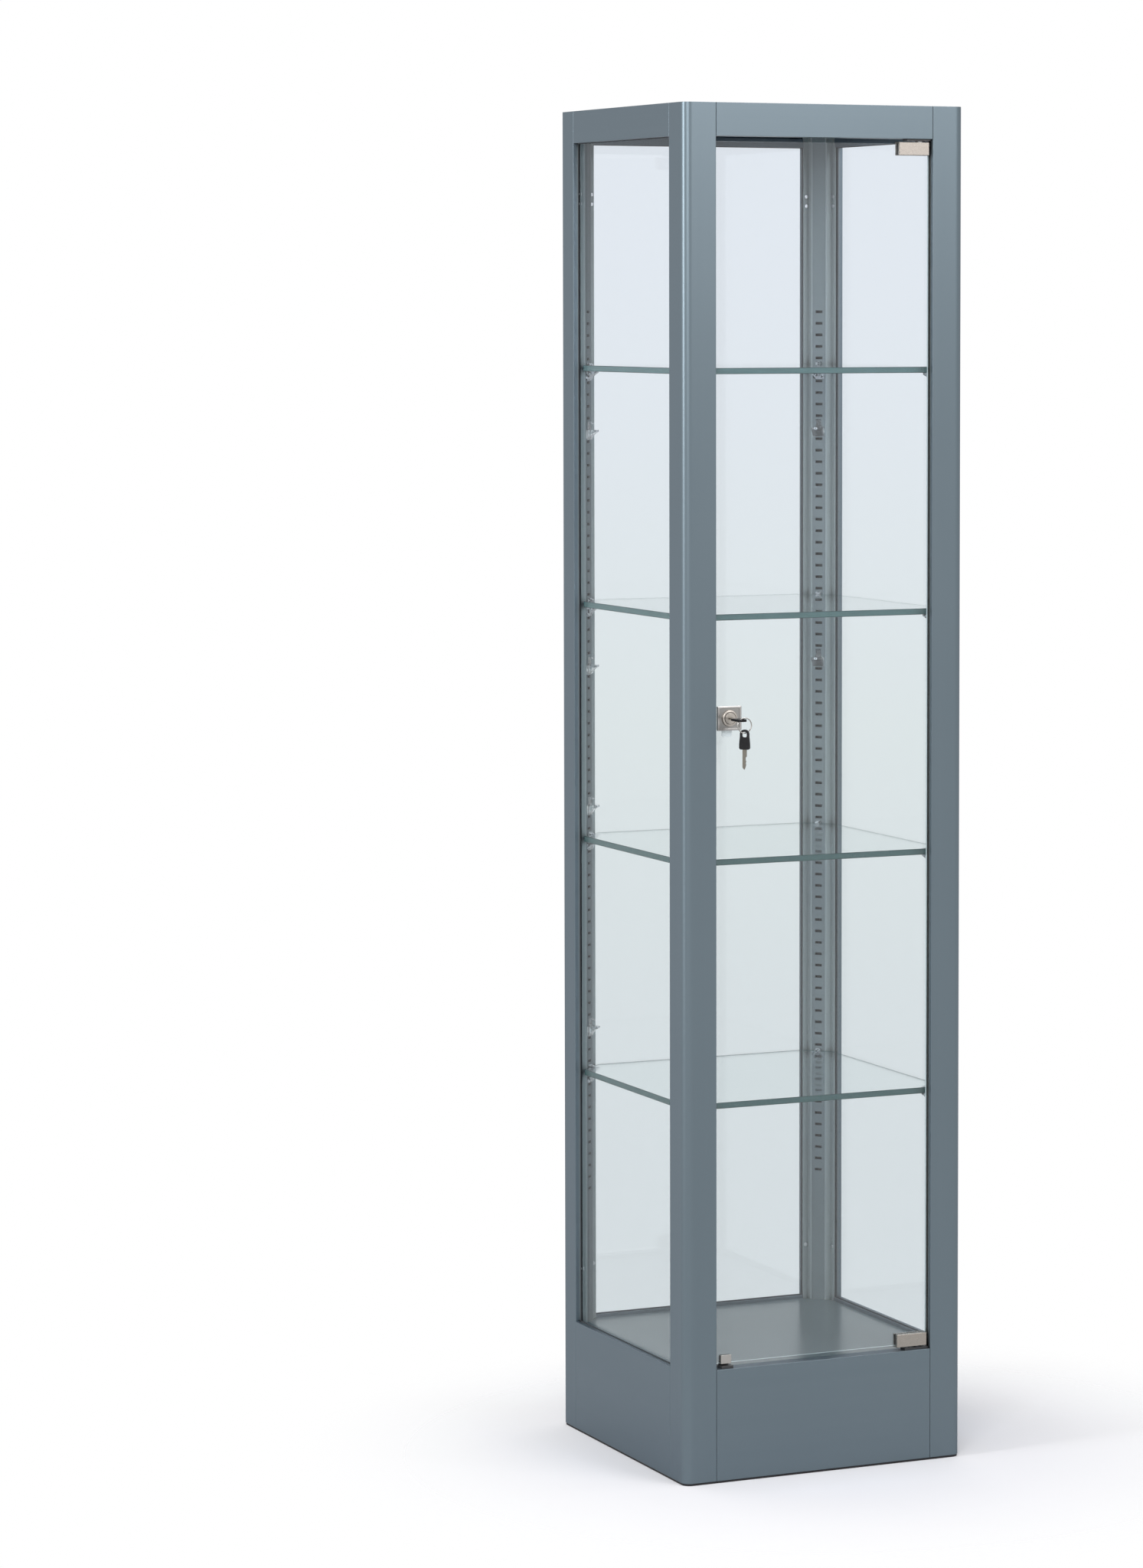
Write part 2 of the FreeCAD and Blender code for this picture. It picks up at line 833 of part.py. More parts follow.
def make_corner_angles():
    body = new_body("corner_angles")
    sketch = new_sketch(body, "XY_Plane")
    near = size.wall - half_depth
    reach = size.glazing_inset - half_depth
    start = size.post_face - half_width
    outline(sketch, [
        (start, near), (start + size.angle_leg, near), (start + size.angle_leg, near + size.wall),
        (start + size.wall, near + size.wall), (start + size.wall, reach), (start, reach),
    ])
    side_near = size.wall - half_width
    side_reach = size.glazing_inset - half_width
    side_start = size.post_face - half_depth
    outline(sketch, [
        (side_near, side_start), (side_reach, side_start), (side_reach, side_start + size.wall),
        (side_near + size.wall, side_start + size.wall), (side_near + size.wall, side_start + size.angle_leg),
        (side_near, side_start + size.angle_leg),
    ])
    pad(body, sketch, size.angle_height)
    mirror(body, "YZ_Plane")
    mirror(body, "XZ_Plane")
    upper = header_bottom + size.rail_groove + 2 * size.wall
    row(body, None, "Z_Axis", upper - size.angle_level, 2, whole=True)
    place(body, 0.0, 0.0, size.angle_level)
    nodes.append(body)


# Fixed panes, their gaskets and the screws that press on them

def make_panes():
    tall = opening_height + 2 * size.pane_bite
    bottom = size.plinth_top - size.pane_bite
    gasket_face = size.glazing_inset
    pane_face = size.glazing_inset + size.gasket_thickness
    sides = (
        ("left", -1, 0, 270.0, opening_depth),
        ("right", 1, 0, 90.0, opening_depth),
        ("rear", 0, 1, 180.0, opening_width),
    )
    for name, side_x, side_y, turn, opening in sides:
        across = opening / 2 + size.pane_bite
        pane = new_body("pane_" + name)
        sketch = new_sketch(pane, "XZ_Plane")
        rectangle(sketch, -across, 0.0, across, tall)
        pad(pane, sketch, size.pane_thickness, backward=True)
        place(pane, (half_width - pane_face) * side_x, (half_depth - pane_face) * side_y, bottom, turn)
        nodes.append(pane)

        gasket = new_body("gasket_" + name)
        sketch = new_sketch(gasket, "XZ_Plane")
        clear = opening / 2 - size.gasket_reveal
        sight = size.pane_bite + size.gasket_reveal
        rectangle(sketch, -across, 0.0, across, tall)
        rectangle(sketch, -clear, sight, clear, tall - sight)
        pad(gasket, sketch, size.gasket_thickness, backward=True)
        place(gasket, (half_width - gasket_face) * side_x, (half_depth - gasket_face) * side_y, bottom, turn)
        nodes.append(gasket)


def make_pane_screws():
    body = new_body("pane_screws")
    shank_length = groove_far + size.flange_thickness - size.glazing_inset
    shank_length = shank_length - size.gasket_thickness - size.pane_thickness
    head = size.pane_screw_head / 2
    shank = size.pane_screw_shank / 2
    side_seat = half_width - flange_face
    for radius, length, backward in ((head, size.pane_screw_head_height, True), (shank, shank_length, False)):
        sketch = new_sketch(body, "YZ_Plane", side_seat)
        for level in pane_screw_levels:
            circle(sketch, size.pane_screw_offset - half_depth, level, radius)
        pad(body, sketch, length, backward)
    mirror(body, "XZ_Plane")
    mirror(body, "YZ_Plane")
    rear_seat = half_depth - flange_face
    for radius, length, backward in ((head, size.pane_screw_head_height, False), (shank, shank_length, True)):
        sketch = new_sketch(body, "XZ_Plane", -rear_seat)
        for level in pane_screw_levels:
            circle(sketch, size.pane_screw_offset - half_width, level, radius)
            circle(sketch, half_width - size.pane_screw_offset, level, radius)
        pad(body, sketch, length, backward)
    nodes.append(body)


# Glass shelves and the clips that carry them

def slot_level(slot):
    return size.slot_first + size.slot_pitch * slot


def make_shelves():
    edge = flange_face + size.shelf_side_gap
    corner = slant_sum + size.shelf_corner_gap * root_two
    for index in range(int(number(size.shelf_count))):
        body = new_body("glass_shelf_%d" % (index + 1))
        sketch = new_sketch(body, "XY_Plane")
        outline(sketch, cut_corner_outline(edge, size.shelf_front_inset, edge, corner))
        pad(body, sketch, size.shelf_thickness)
        faces = [far_face(body, FreeCAD.Vector(0, 0, 1)), far_face(body, FreeCAD.Vector(0, 0, -1))]
        bevel(body, faces, size.glass_arris)
        place(body, 0.0, 0.0, slot_level(size.first_shelf_slot_count + size.shelf_spacing_slot_count * index))
        nodes.append(body)


# One clip seen from its side: out from the slotted strip, and up from the underside of the shelf.

def clip_lip_outline():
    lip = size.shelf_thickness + size.clip_grip_gap
    return [
        (0.0, 0.0), (size.clip_plate, 0.0), (size.clip_plate, lip), (size.clip_plate + size.clip_lip, lip),
        (size.clip_plate, lip + size.clip_lip_rise), (0.0, lip + size.clip_lip_rise),
    ]


def clip_hook_outline():
    hook = size.clip_hook / 2
    far = -size.clip_hook_reach
    near = -(size.strip_thickness + size.clip_hook_gap)
    return [
        (0.0, hook), (near, hook), (near, hook + size.clip_hook_rise), (far, hook + size.clip_hook_rise),
        (far, -hook), (0.0, -hook),
    ]


def clip_arm_outline():
    return [
        (0.0, 0.0), (0.0, -size.clip_drop), (size.clip_plate, -size.clip_drop),
        (size.clip_arm, -size.clip_arm_tip), (size.clip_arm, 0.0),
    ]


# The arm is round at its foot and at its tip, the hook fits the slot and the lip grips the glass.
def new_clip(label, side_x, side_y, turn, level):
    body = new_body(label)
    arm = new_sketch(body, "XZ_Plane")
    outline(arm, clip_arm_outline(), {2: size.clip_sweep})
    pad(body, arm, size.clip_width, centred=True)
    plan = new_sketch(body, "XY_Plane", size.clip_plate)
    half = size.clip_width / 2
    rectangle(plan, -size.clip_plate, -size.clip_width, size.clip_arm + size.clip_plate, size.clip_width)
    outline(plan, [
        (0.0, -half), (size.clip_arm, -half, size.clip_round),
        (size.clip_arm, half, size.clip_round), (0.0, half),
    ])
    pocket(body, plan, size.clip_drop + 2 * size.clip_plate)
    hook = new_sketch(body, "XZ_Plane")
    outline(hook, clip_hook_outline())
    pad(body, hook, size.clip_hook_width, centred=True)
    lip = new_sketch(body, "XZ_Plane")
    outline(lip, clip_lip_outline())
    pad(body, lip, size.clip_lip_width, centred=True)
    across = (half_width - slant_middle) * side_x
    along = (half_depth - slant_middle) * side_y
    place(body, across, along, level, turn + 45.0)
    return body


def make_clips():
    members = []
    for index in range(int(number(size.shelf_count))):
        level = slot_level(size.first_shelf_slot_count + size.shelf_spacing_slot_count * index)
        for name, side_x, side_y, turn in cabinet_corners:
            members.append(new_clip("clip_%s_%d" % (name, index + 1), side_x, side_y, turn, level))
    nodes.append(group("shelf_clips", members))
    spare_slots = {"rear_left": (14, 33, 45, 65), "rear_right": (45, 65)}
    spares = []
    for name, side_x, side_y, turn in cabinet_corners:
        for slot in spare_slots.get(name, ()):
            spares.append(new_clip("spare_%s_%d" % (name, slot), side_x, side_y, turn, slot_level(slot)))
    nodes.append(group("spare_clips", spares))


# Door leaf

door_half = half_width - size.post_face - size.door_gap
door_front = size.door_inset - half_depth
door_bottom = size.plinth_top + size.hinge_gap + size.clamp_bridge + size.liner
door_top = header_bottom - size.hinge_gap - size.clamp_bridge - size.liner
lock_x = size.lock_inset - door_half


def make_door():
    body = new_body("door_glass")
    sketch = new_sketch(body, "XZ_Plane")
    rectangle(sketch, -door_half, door_bottom, door_half, door_top)
    circle(sketch, lock_x, size.lock_height, size.barrel_radius + size.barrel_gap)
    pad(body, sketch, size.door_thickness, backward=True)
    place(body, 0.0, door_front, 0.0)
    nodes.append(body)


# Pivot hinges: the same pieces below and above the door, drawn upwards from the rail or down from it

clamp_right = door_half - size.clamp_end
clamp_left = clamp_right - size.clamp_length
slot_near = size.clamp_front
slot_far = size.clamp_front + 2 * size.liner + size.door_thickness
clamp_depth = slot_far + size.clamp_rear
clamp_front_y = door_front - size.liner - size.clamp_front
pivot_y = pivot_depth - half_depth
clamp_screw_places = (size.clamp_screw_margin, size.clamp_length - size.clamp_screw_margin)


def make_clamp(end, up, rail):
    face = rail + size.hinge_gap * up
    body = new_body("hinge_clamp_" + end)
    sketch = new_sketch(body, "YZ_Plane")
    tall = size.clamp_height * up
    bridge = size.clamp_bridge * up
    outline(sketch, [
        (0.0, 0.0), (clamp_depth, 0.0), (clamp_depth, tall), (slot_far, tall), (slot_far, bridge),
        (slot_near, bridge), (slot_near, tall), (0.0, tall),
    ])
    pad(body, sketch, size.clamp_length)
    bevel(body, [far_face(body, FreeCAD.Vector(0, -1, 0))], size.clamp_bevel)
    tenon = new_sketch(body, "XY_Plane", bridge)
    circle(tenon, pivot_x - clamp_left, pivot_y - clamp_front_y, size.tenon_radius + size.thread_gap)
    pocket(body, tenon, size.clamp_bridge, backward=up < 0)
    holes = new_sketch(body, "XZ_Plane", -clamp_depth)
    for across in clamp_screw_places:
        circle(holes, across, size.clamp_screw_level * up, size.clamp_screw_radius + size.thread_gap)
    pocket(body, holes, size.clamp_rear, backward=True)
    place(body, clamp_left, clamp_front_y, face)
    nodes.append(body)


def new_liner(end, up, rail):
    face = rail + size.hinge_gap * up
    body = new_body("liner_" + end)
    sketch = new_sketch(body, "YZ_Plane")
    tall = (size.clamp_height - size.clamp_bevel) * up
    bridge = size.clamp_bridge * up
    inner = (size.clamp_bridge + size.liner) * up
    outline(sketch, [
        (slot_near, bridge), (slot_far, bridge), (slot_far, tall), (slot_far - size.liner, tall),
        (slot_far - size.liner, inner), (slot_near + size.liner, inner), (slot_near + size.liner, tall),
        (slot_near, tall),
    ])
    pad(body, sketch, size.clamp_length - 2 * size.clamp_bevel)
    place(body, clamp_left + size.clamp_bevel, clamp_front_y, face)
    return body


def new_clamp_screws(end, up, rail):
    body = new_body("clamp_screws_" + end)
    for radius, length, backward in (
            (size.clamp_screw_radius, size.clamp_rear, False),
            (size.clamp_screw_head_radius, size.clamp_screw_head, True)):
        sketch = new_sketch(body, "XZ_Plane", -clamp_depth)
        for across in clamp_screw_places:
            circle(sketch, across, size.clamp_screw_level * up, radius)
        pad(body, sketch, length, backward)
    place(body, clamp_left, clamp_front_y, rail + size.hinge_gap * up)
    return body


def turned_piece(label, corners):
    body = new_body(label)
    sketch = new_sketch(body, "XZ_Plane")
    outline(sketch, corners)
    revolve(body, sketch, "V_Axis")
    return body


def make_pivot(end, up, rail):
    face = size.hinge_gap * up
    collar = (size.hinge_gap - size.pin_collar) * up
    tip = -size.pin_reach * up
    pin = turned_piece("pivot_pin_" + end, [
        (0.0, tip), (size.pin_radius, tip), (size.pin_radius, collar), (size.pin_collar_radius, collar),
        (size.pin_collar_radius, face), (size.tenon_radius, face),
        (size.tenon_radius, face + size.clamp_bridge * up), (0.0, face + size.clamp_bridge * up),
    ])
    place(pin, pivot_x, pivot_y, rail)
    nodes.append(pin)

    bore = size.pin_radius + size.pin_clearance
    seat = size.bracket_thickness * up
    rim = (size.bracket_thickness + size.bush_flange) * up
    foot = -size.bush_reach * up
    bush = turned_piece("pivot_bush_" + end, [
        (bore, foot), (size.bush_radius, foot), (size.bush_radius, seat), (size.bush_flange_radius, seat),
        (size.bush_flange_radius, rim), (bore, rim),
    ])
    place(bush, pivot_x, pivot_y, rail)
    nodes.append(bush)


def make_bracket(end, up, rail):
    body = new_body("hinge_bracket_" + end)
    sketch = new_sketch(body, "XY_Plane")
    across = size.bracket_width / 2
    rectangle(sketch, bracket_left - pivot_x, -across, bracket_right - pivot_x, across, size.arris)
    circle(sketch, 0.0, 0.0, size.bush_radius + size.thread_gap)
    for screw in bracket_screw_places:
        circle(sketch, screw - pivot_x, 0.0, size.bracket_screw_radius + size.fit_gap)
    pad(body, sketch, size.bracket_thickness, backward=up < 0)
    sinks = new_sketch(body, "XY_Plane", size.bracket_thickness * up)
    for screw in bracket_screw_places:
        circle(sinks, screw - pivot_x, 0.0, size.bracket_screw_head_radius + size.fit_gap)
    pocket(body, sinks, size.bracket_screw_head, backward=up < 0)
    place(body, pivot_x, pivot_y, rail)
    nodes.append(body)


def new_bracket_screw(end, index, up, rail, across):
    top = size.bracket_thickness * up
    under = (size.bracket_thickness - size.bracket_screw_head) * up
    tip = under - size.bracket_screw_length * up
    body = turned_piece("bracket_screw_%s_%d" % (end, index), [
        (0.0, tip), (size.bracket_screw_radius, tip), (size.bracket_screw_radius, under),
        (size.bracket_screw_head_radius, under), (size.bracket_screw_head_radius, top), (0.0, top),
    ])
    place(body, across, pivot_y, rail)
    return body


def make_hinges():
    liners = []
    clamp_screws = []
    bracket_screws = []
    for end, up, rail in (("bottom", 1, size.plinth_top), ("top", -1, header_bottom)):
        make_clamp(end, up, rail)
        make_pivot(end, up, rail)
        make_bracket(end, up, rail)
        liners.append(new_liner(end, up, rail))
        clamp_screws.append(new_clamp_screws(end, up, rail))
        for index, across in enumerate(bracket_screw_places):
            bracket_screws.append(new_bracket_screw(end, index, up, rail, across))
    nodes.append(group("hinge_liners", liners))
    nodes.append(group("hinge_clamp_screws", clamp_screws))
    nodes.append(group("bracket_screws", bracket_screws))


# Lock: every piece is drawn about the lock's axis, with Y counted from the front of the door glass

behind_glass = size.door_thickness
cylinder_front = -(size.lock_plate + size.rose_rise + size.cylinder_rise)
cylinder_end = behind_glass + size.cylinder_reach
cylinder_bore = size.cylinder_radius + size.cylinder_clearance


def place_in_lock(piece, y=0.0):
    place(piece, lock_x, door_front + y, size.lock_height)


def make_lock_body():
    body = new_body("lock_body")
    plate = new_sketch(body, "XZ_Plane")
    rectangle(plate, -size.lock_plate_width / 2, -size.lock_plate_height / 2, size.lock_plate_width / 2,
              size.lock_plate_height / 2, size.lock_plate_radius)
    pad(body, plate, size.lock_plate)
    bevel(body, [far_face(body, FreeCAD.Vector(0, -1, 0))], size.lock_plate_bevel)
    field = new_sketch(body, "XZ_Plane", size.lock_plate)
    wide = size.lock_plate_width / 2 - size.lock_plate_border
    high = size.lock_plate_height / 2 - size.lock_plate_border
    rectangle(field, -wide, -high, wide, high, size.lock_plate_radius)
    pocket(body, field, size.lock_plate_sink)
    rose = new_sketch(body, "XY_Plane")
    front = -(size.lock_plate + size.rose_rise)
    bezel = front + size.rose_bezel_drop
    groove = front + size.rose_groove_depth
    ring = size.rose_groove_radius + size.rose_groove_width
    outline(rose, [
        (0.0, front), (size.rose_groove_radius, front), (size.rose_groove_radius, groove), (ring, groove),
        (ring, bezel), (size.rose_radius, bezel, size.rose_round), (size.rose_radius, -size.lock_plate / 2),
        (size.barrel_radius, -size.lock_plate / 2), (size.barrel_radius, behind_glass + size.barrel_reach),
        (0.0, behind_glass + size.barrel_reach),
    ])
    revolve(body, rose, "V_Axis")
    bore = new_sketch(body, "XZ_Plane", -front)
    circle(bore, 0.0, 0.0, cylinder_bore)
    pocket(body, bore, behind_glass + size.barrel_reach - front)
    place_in_lock(body)
    nodes.append(body)


def make_lock_nut():
    body = new_body("lock_nut")
    sketch = new_sketch(body, "XZ_Plane", -behind_glass)
    radius = size.nut_across_flats / math.sqrt(3.0)
    corners = []
    for side in range(6):
        angle = math.radians(60.0 * side)
        corners.append((radius * math.cos(angle), radius * math.sin(angle)))
    outline(sketch, corners)
    circle(sketch, 0.0, 0.0, size.barrel_radius + size.thread_gap)
    pad(body, sketch, size.nut_thickness, backward=True)
    place_in_lock(body)
    nodes.append(body)


def make_lock_cylinder():
    body = new_body("lock_cylinder")
    sketch = new_sketch(body, "XZ_Plane", -cylinder_end)
    circle(sketch, 0.0, 0.0, size.cylinder_radius)
    pad(body, sketch, cylinder_end - cylinder_front)
    drive = new_sketch(body, "XZ_Plane", -cylinder_end)
    across = size.drive_width / 2
    rectangle(drive, -across, -across, across, across)
    pad(body, drive, size.cam_thickness - 2 * size.drive_gap, backward=True)
    keyway = new_sketch(body, "XZ_Plane", -cylinder_front)
    wide = size.blade_width / 2 + size.keyway_gap
    thick = size.blade_thickness / 2 + size.keyway_gap
    rectangle(keyway, -wide, -thick, wide, thick)
    pocket(body, keyway, size.keyway_depth)
    hole = new_sketch(body, "XZ_Plane", -(cylinder_end + size.cam_thickness))
    circle(hole, 0.0, 0.0, size.cam_screw_radius + size.thread_gap)
    pocket(body, hole, size.cam_screw_length + size.drive_gap, backward=True)
    place_in_lock(body)
    nodes.append(body)


# The cam hangs down when unlocked and points at the left post when turned a quarter.
def make_lock_cam():
    body = new_body("lock_cam")
    sketch = new_sketch(body, "XZ_Plane", -cylinder_end)
    half = size.cam_width / 2
    outline(sketch, [
        (-half, -size.cam_reach, size.cam_round), (half, -size.cam_reach, size.cam_round),
        (half, size.cam_head, size.cam_round), (-half, size.cam_head, size.cam_round),
    ])
    across = size.drive_width / 2 + size.drive_gap
    rectangle(sketch, -across, -across, across, across)
    pad(body, sketch, size.cam_thickness, backward=True)
    place_in_lock(body)
    nodes.append(body)


def make_cam_screw():
    body = new_body("cam_screw")
    seat = cylinder_end + size.cam_thickness
    shank = new_sketch(body, "XZ_Plane", -seat)
    circle(shank, 0.0, 0.0, size.cam_screw_radius)
    pad(body, shank, size.cam_screw_length)
    head = new_sketch(body, "XZ_Plane", -seat)
    circle(head, 0.0, 0.0, size.cam_screw_head_radius)
    pad(body, head, size.cam_screw_head, backward=True)
    place_in_lock(body)
    nodes.append(body)


# Keys: drawn flat with the blade towards +Y and the bow towards -Y, from the shoulder between them

def new_blade(label):
    body = new_body(label)
    sketch = new_sketch(body, "XY_Plane")
    wide = size.blade_width / 2
    narrow = wide - size.blade_notch
    tip = size.blade_length
    tooth = (size.blade_length - size.blade_step) / 4
    outline(sketch, [
        (-wide, -size.blade_root), (wide, -size.blade_root), (wide, size.blade_step),
        (narrow, size.blade_step + size.blade_notch), (narrow, size.blade_step + tooth),
        (wide - size.blade_notch / 2, size.blade_step + 1.5 * tooth), (narrow, size.blade_step + 2 * tooth),
        (wide - size.blade_notch / 2, size.blade_step + 2.5 * tooth), (narrow, size.blade_step + 3 * tooth),
        (0.0, tip), (-wide + size.blade_notch / 2, tip - size.blade_notch),
        (-wide, tip - 2 * size.blade_notch),
    ])
    pad(body, sketch, size.blade_thickness, centred=True)
    return body


def new_bow(label, hole_left, hole_right, hole_near, hole_far, hole_radius):
    body = new_body(label)
    sketch = new_sketch(body, "XY_Plane")
    half = size.bow_width / 2
    tip = size.bow_tip_width / 2
    outline(sketch, [
        (-tip, -size.bow_length, size.bow_tip_radius), (tip, -size.bow_length, size.bow_tip_radius),
        (tip, -size.bow_taper_far), (half, -size.bow_taper_near),
        (half, 0.0, size.bow_shoulder_radius), (-half, 0.0, size.bow_shoulder_radius),
        (-half, -size.bow_taper_near), (-tip, -size.bow_taper_far),
    ])
    rectangle(sketch, hole_left, hole_far, hole_right, hole_near, hole_radius)
    pad(body, sketch, size.bow_thickness, centred=True)
    socket = new_sketch(body, "XZ_Plane")
    wide = size.blade_width / 2 + size.drive_gap
    thick = size.blade_thickness / 2 + size.drive_gap
    rectangle(socket, -wide, -thick, wide, thick)
    pocket(body, socket, size.blade_root + size.drive_gap, backward=True)
    return body


key_y = door_front - size.key_gap
ring_y = key_y - size.bow_hole_place
rim_x = size.bow_tip_width / 2 - size.bow_rim / 2
ring_x = lock_x + rim_x
ring_z = size.lock_height - size.ring_drop
spare_bow_top = ring_z - size.ring_radius + size.ring_wire + size.spare_ring_gap + size.spare_rim
spare_shoulder = spare_bow_top - size.bow_length


def make_key():
    blade = new_blade("key_blade")
    place(blade, lock_x, key_y, size.lock_height)
    nodes.append(blade)
    right = size.bow_tip_width / 2 - size.bow_rim
    middle = -size.bow_hole_place
    bow = new_bow("key_bow", right - size.bow_hole_width, right, middle + size.bow_hole_length / 2,
                  middle - size.bow_hole_length / 2, size.blade_thickness)
    place(bow, lock_x, key_y, size.lock_height)
    nodes.append(bow)


def make_key_ring():
    ring = document.addObject("Part::Torus", "key_ring")
    ring.Label = "key_ring"
    ring.Radius1 = number(size.ring_radius)
    bind(ring, "Radius1", size.ring_radius)
    ring.Radius2 = number(size.ring_wire)
    bind(ring, "Radius2", size.ring_wire)
    place(ring, ring_x, ring_y, ring_z, 90.0, (1, 0, 0))
    nodes.append(ring)


# The spare key hangs blade down from the ring, turned about the vertical.
def place_spare(piece):
    hang = FreeCAD.Rotation(FreeCAD.Vector(1, 0, 0), -90.0)
    twist = FreeCAD.Rotation(FreeCAD.Vector(0, 0, 1), -number(size.spare_turn))
    place(piece, ring_x, ring_y, spare_shoulder)
    piece.setExpression("Placement.Rotation.Angle", None)
    piece.Placement = FreeCAD.Placement(piece.Placement.Base, twist.multiply(hang))


def make_spare_key():
    blade = new_blade("spare_key_blade")
    place_spare(blade)
    nodes.append(blade)
    top = -(size.bow_length - size.spare_rim)
    across = size.spare_hole_width / 2
    bow = new_bow("spare_key_bow", -across, across, top + size.spare_hole_length, top, size.blade_thickness)
    place_spare(bow)
    nodes.append(bow)


# Magnetic catch at the lower corner of the door

catch_x = size.catch_place - door_half


def make_catch():
    clip = new_body("door_clip")
    sketch = new_sketch(clip, "YZ_Plane")
    wall = size.catch_clip_wall
    deep = size.door_thickness + wall
    top = size.catch_clip_height - wall
    outline(sketch, [
        (-wall, -wall), (deep, -wall), (deep, top), (size.door_thickness, top), (size.door_thickness, 0.0),
        (0.0, 0.0), (0.0, top), (-wall, top),
    ])
    pad(clip, sketch, size.catch_width, centred=True)
    place(clip, catch_x, door_front, door_bottom)
    nodes.append(clip)

    base = new_body("catch_base")
    sketch = new_sketch(base, "XY_Plane")
    half = size.catch_base_width / 2
    rectangle(sketch, -half, 0.0, half, size.catch_base_depth, size.arris)
    pad(base, sketch, size.catch_base_thickness)
    place(base, catch_x, size.catch_base_front - half_depth, size.plinth_top)
    nodes.append(base)

    magnet = new_body("catch_magnet")
    sketch = new_sketch(magnet, "XY_Plane")
    half = size.magnet_width / 2
    rectangle(sketch, -half, -size.magnet_thickness, half, 0.0, size.arris)
    pad(magnet, sketch, size.magnet_height)
    back = size.catch_base_front + size.catch_base_depth - half_depth
    place(magnet, catch_x, back, size.plinth_top + size.catch_base_thickness)
    nodes.append(magnet)


def check_and_write():
    document.recompute()
    for item in document.Objects:
        if "Invalid" in item.State or "Error" in item.State:
            raise RuntimeError("%s did not build" % item.Label)
    for node in nodes:
        if node.Shape.isNull() or not node.Shape.isValid() or not node.Shape.Solids:
            raise RuntimeError("%s has no sound shape" % node.Label)
    os.makedirs("parts", exist_ok=True)
    for node in nodes:
        node.Shape.exportStep("parts/%s.step" % node.Label)
    print("%d nodes written" % len(nodes))


make_posts()
make_strips()
make_caps()
make_rails()
make_panels()
make_corner_angles()
make_panes()
make_pane_screws()
make_shelves()
make_clips()
make_door()
make_hinges()
make_lock_body()
make_lock_nut()
make_lock_cylinder()
make_lock_cam()
make_cam_screw()
make_key()
make_key_ring()
make_spare_key()
make_catch()
check_and_write()
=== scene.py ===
import bpy
import math
from mathutils import Euler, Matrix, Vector


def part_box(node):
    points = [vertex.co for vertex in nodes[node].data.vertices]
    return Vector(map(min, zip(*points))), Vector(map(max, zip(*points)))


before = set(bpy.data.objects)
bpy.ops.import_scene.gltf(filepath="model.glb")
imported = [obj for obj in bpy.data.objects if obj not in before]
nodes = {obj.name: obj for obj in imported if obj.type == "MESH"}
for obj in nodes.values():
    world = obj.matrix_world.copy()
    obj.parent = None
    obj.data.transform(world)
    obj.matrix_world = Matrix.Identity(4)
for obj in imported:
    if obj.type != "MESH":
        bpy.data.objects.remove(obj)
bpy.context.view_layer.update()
print("cabinet loaded,", len(nodes), "nodes")

# shared by all finishes
finishing = {
    "noiseMiddle": 0.5,
    "edgeSamples": 6,
    "edgeWearLightFrom": 0.02,  # turn of the rounded normal at which edge wear and painted edge highlight start and are full
    "edgeWearLightTo": 0.40,
    "grooveSamples": 8,
}


# a socket that takes part in plain sums, each sum adds its Math node
class Wire:
    def __init__(self, finish, socket):
        self.finish = finish
        self.socket = socket

    def out(self, name):
        return Wire(self.finish, self.socket.node.outputs[name])

    def sum(self, operation, *terms):
        return self.finish.node("ShaderNodeMath", {"operation": operation}, dict(enumerate(terms)))

    def __add__(self, other):
        return self.sum("ADD", self, other)

    def __sub__(self, other):
        return self.sum("SUBTRACT", self, other)

    def __rsub__(self, other):
        return self.sum("SUBTRACT", other, self)

    def __mul__(self, other):
        return self.sum("MULTIPLY", self, other)

    def __gt__(self, other):
        return self.sum("GREATER_THAN", self, other)

    def __lt__(self, other):
        return self.sum("LESS_THAN", self, other)

    def __or__(self, other):
        return self.sum("MAXIMUM", self, other)

    def __and__(self, other):
        return self.sum("MINIMUM", self, other)

    def __abs__(self):
        return self.sum("ABSOLUTE", self)

    # the same either way round
    __radd__, __rmul__, __ror__, __rand__ = __add__, __mul__, __or__, __and__

    # noise about its middle, made as large as reach
    def swing(self, reach):
        return (self - finishing["noiseMiddle"]) * reach


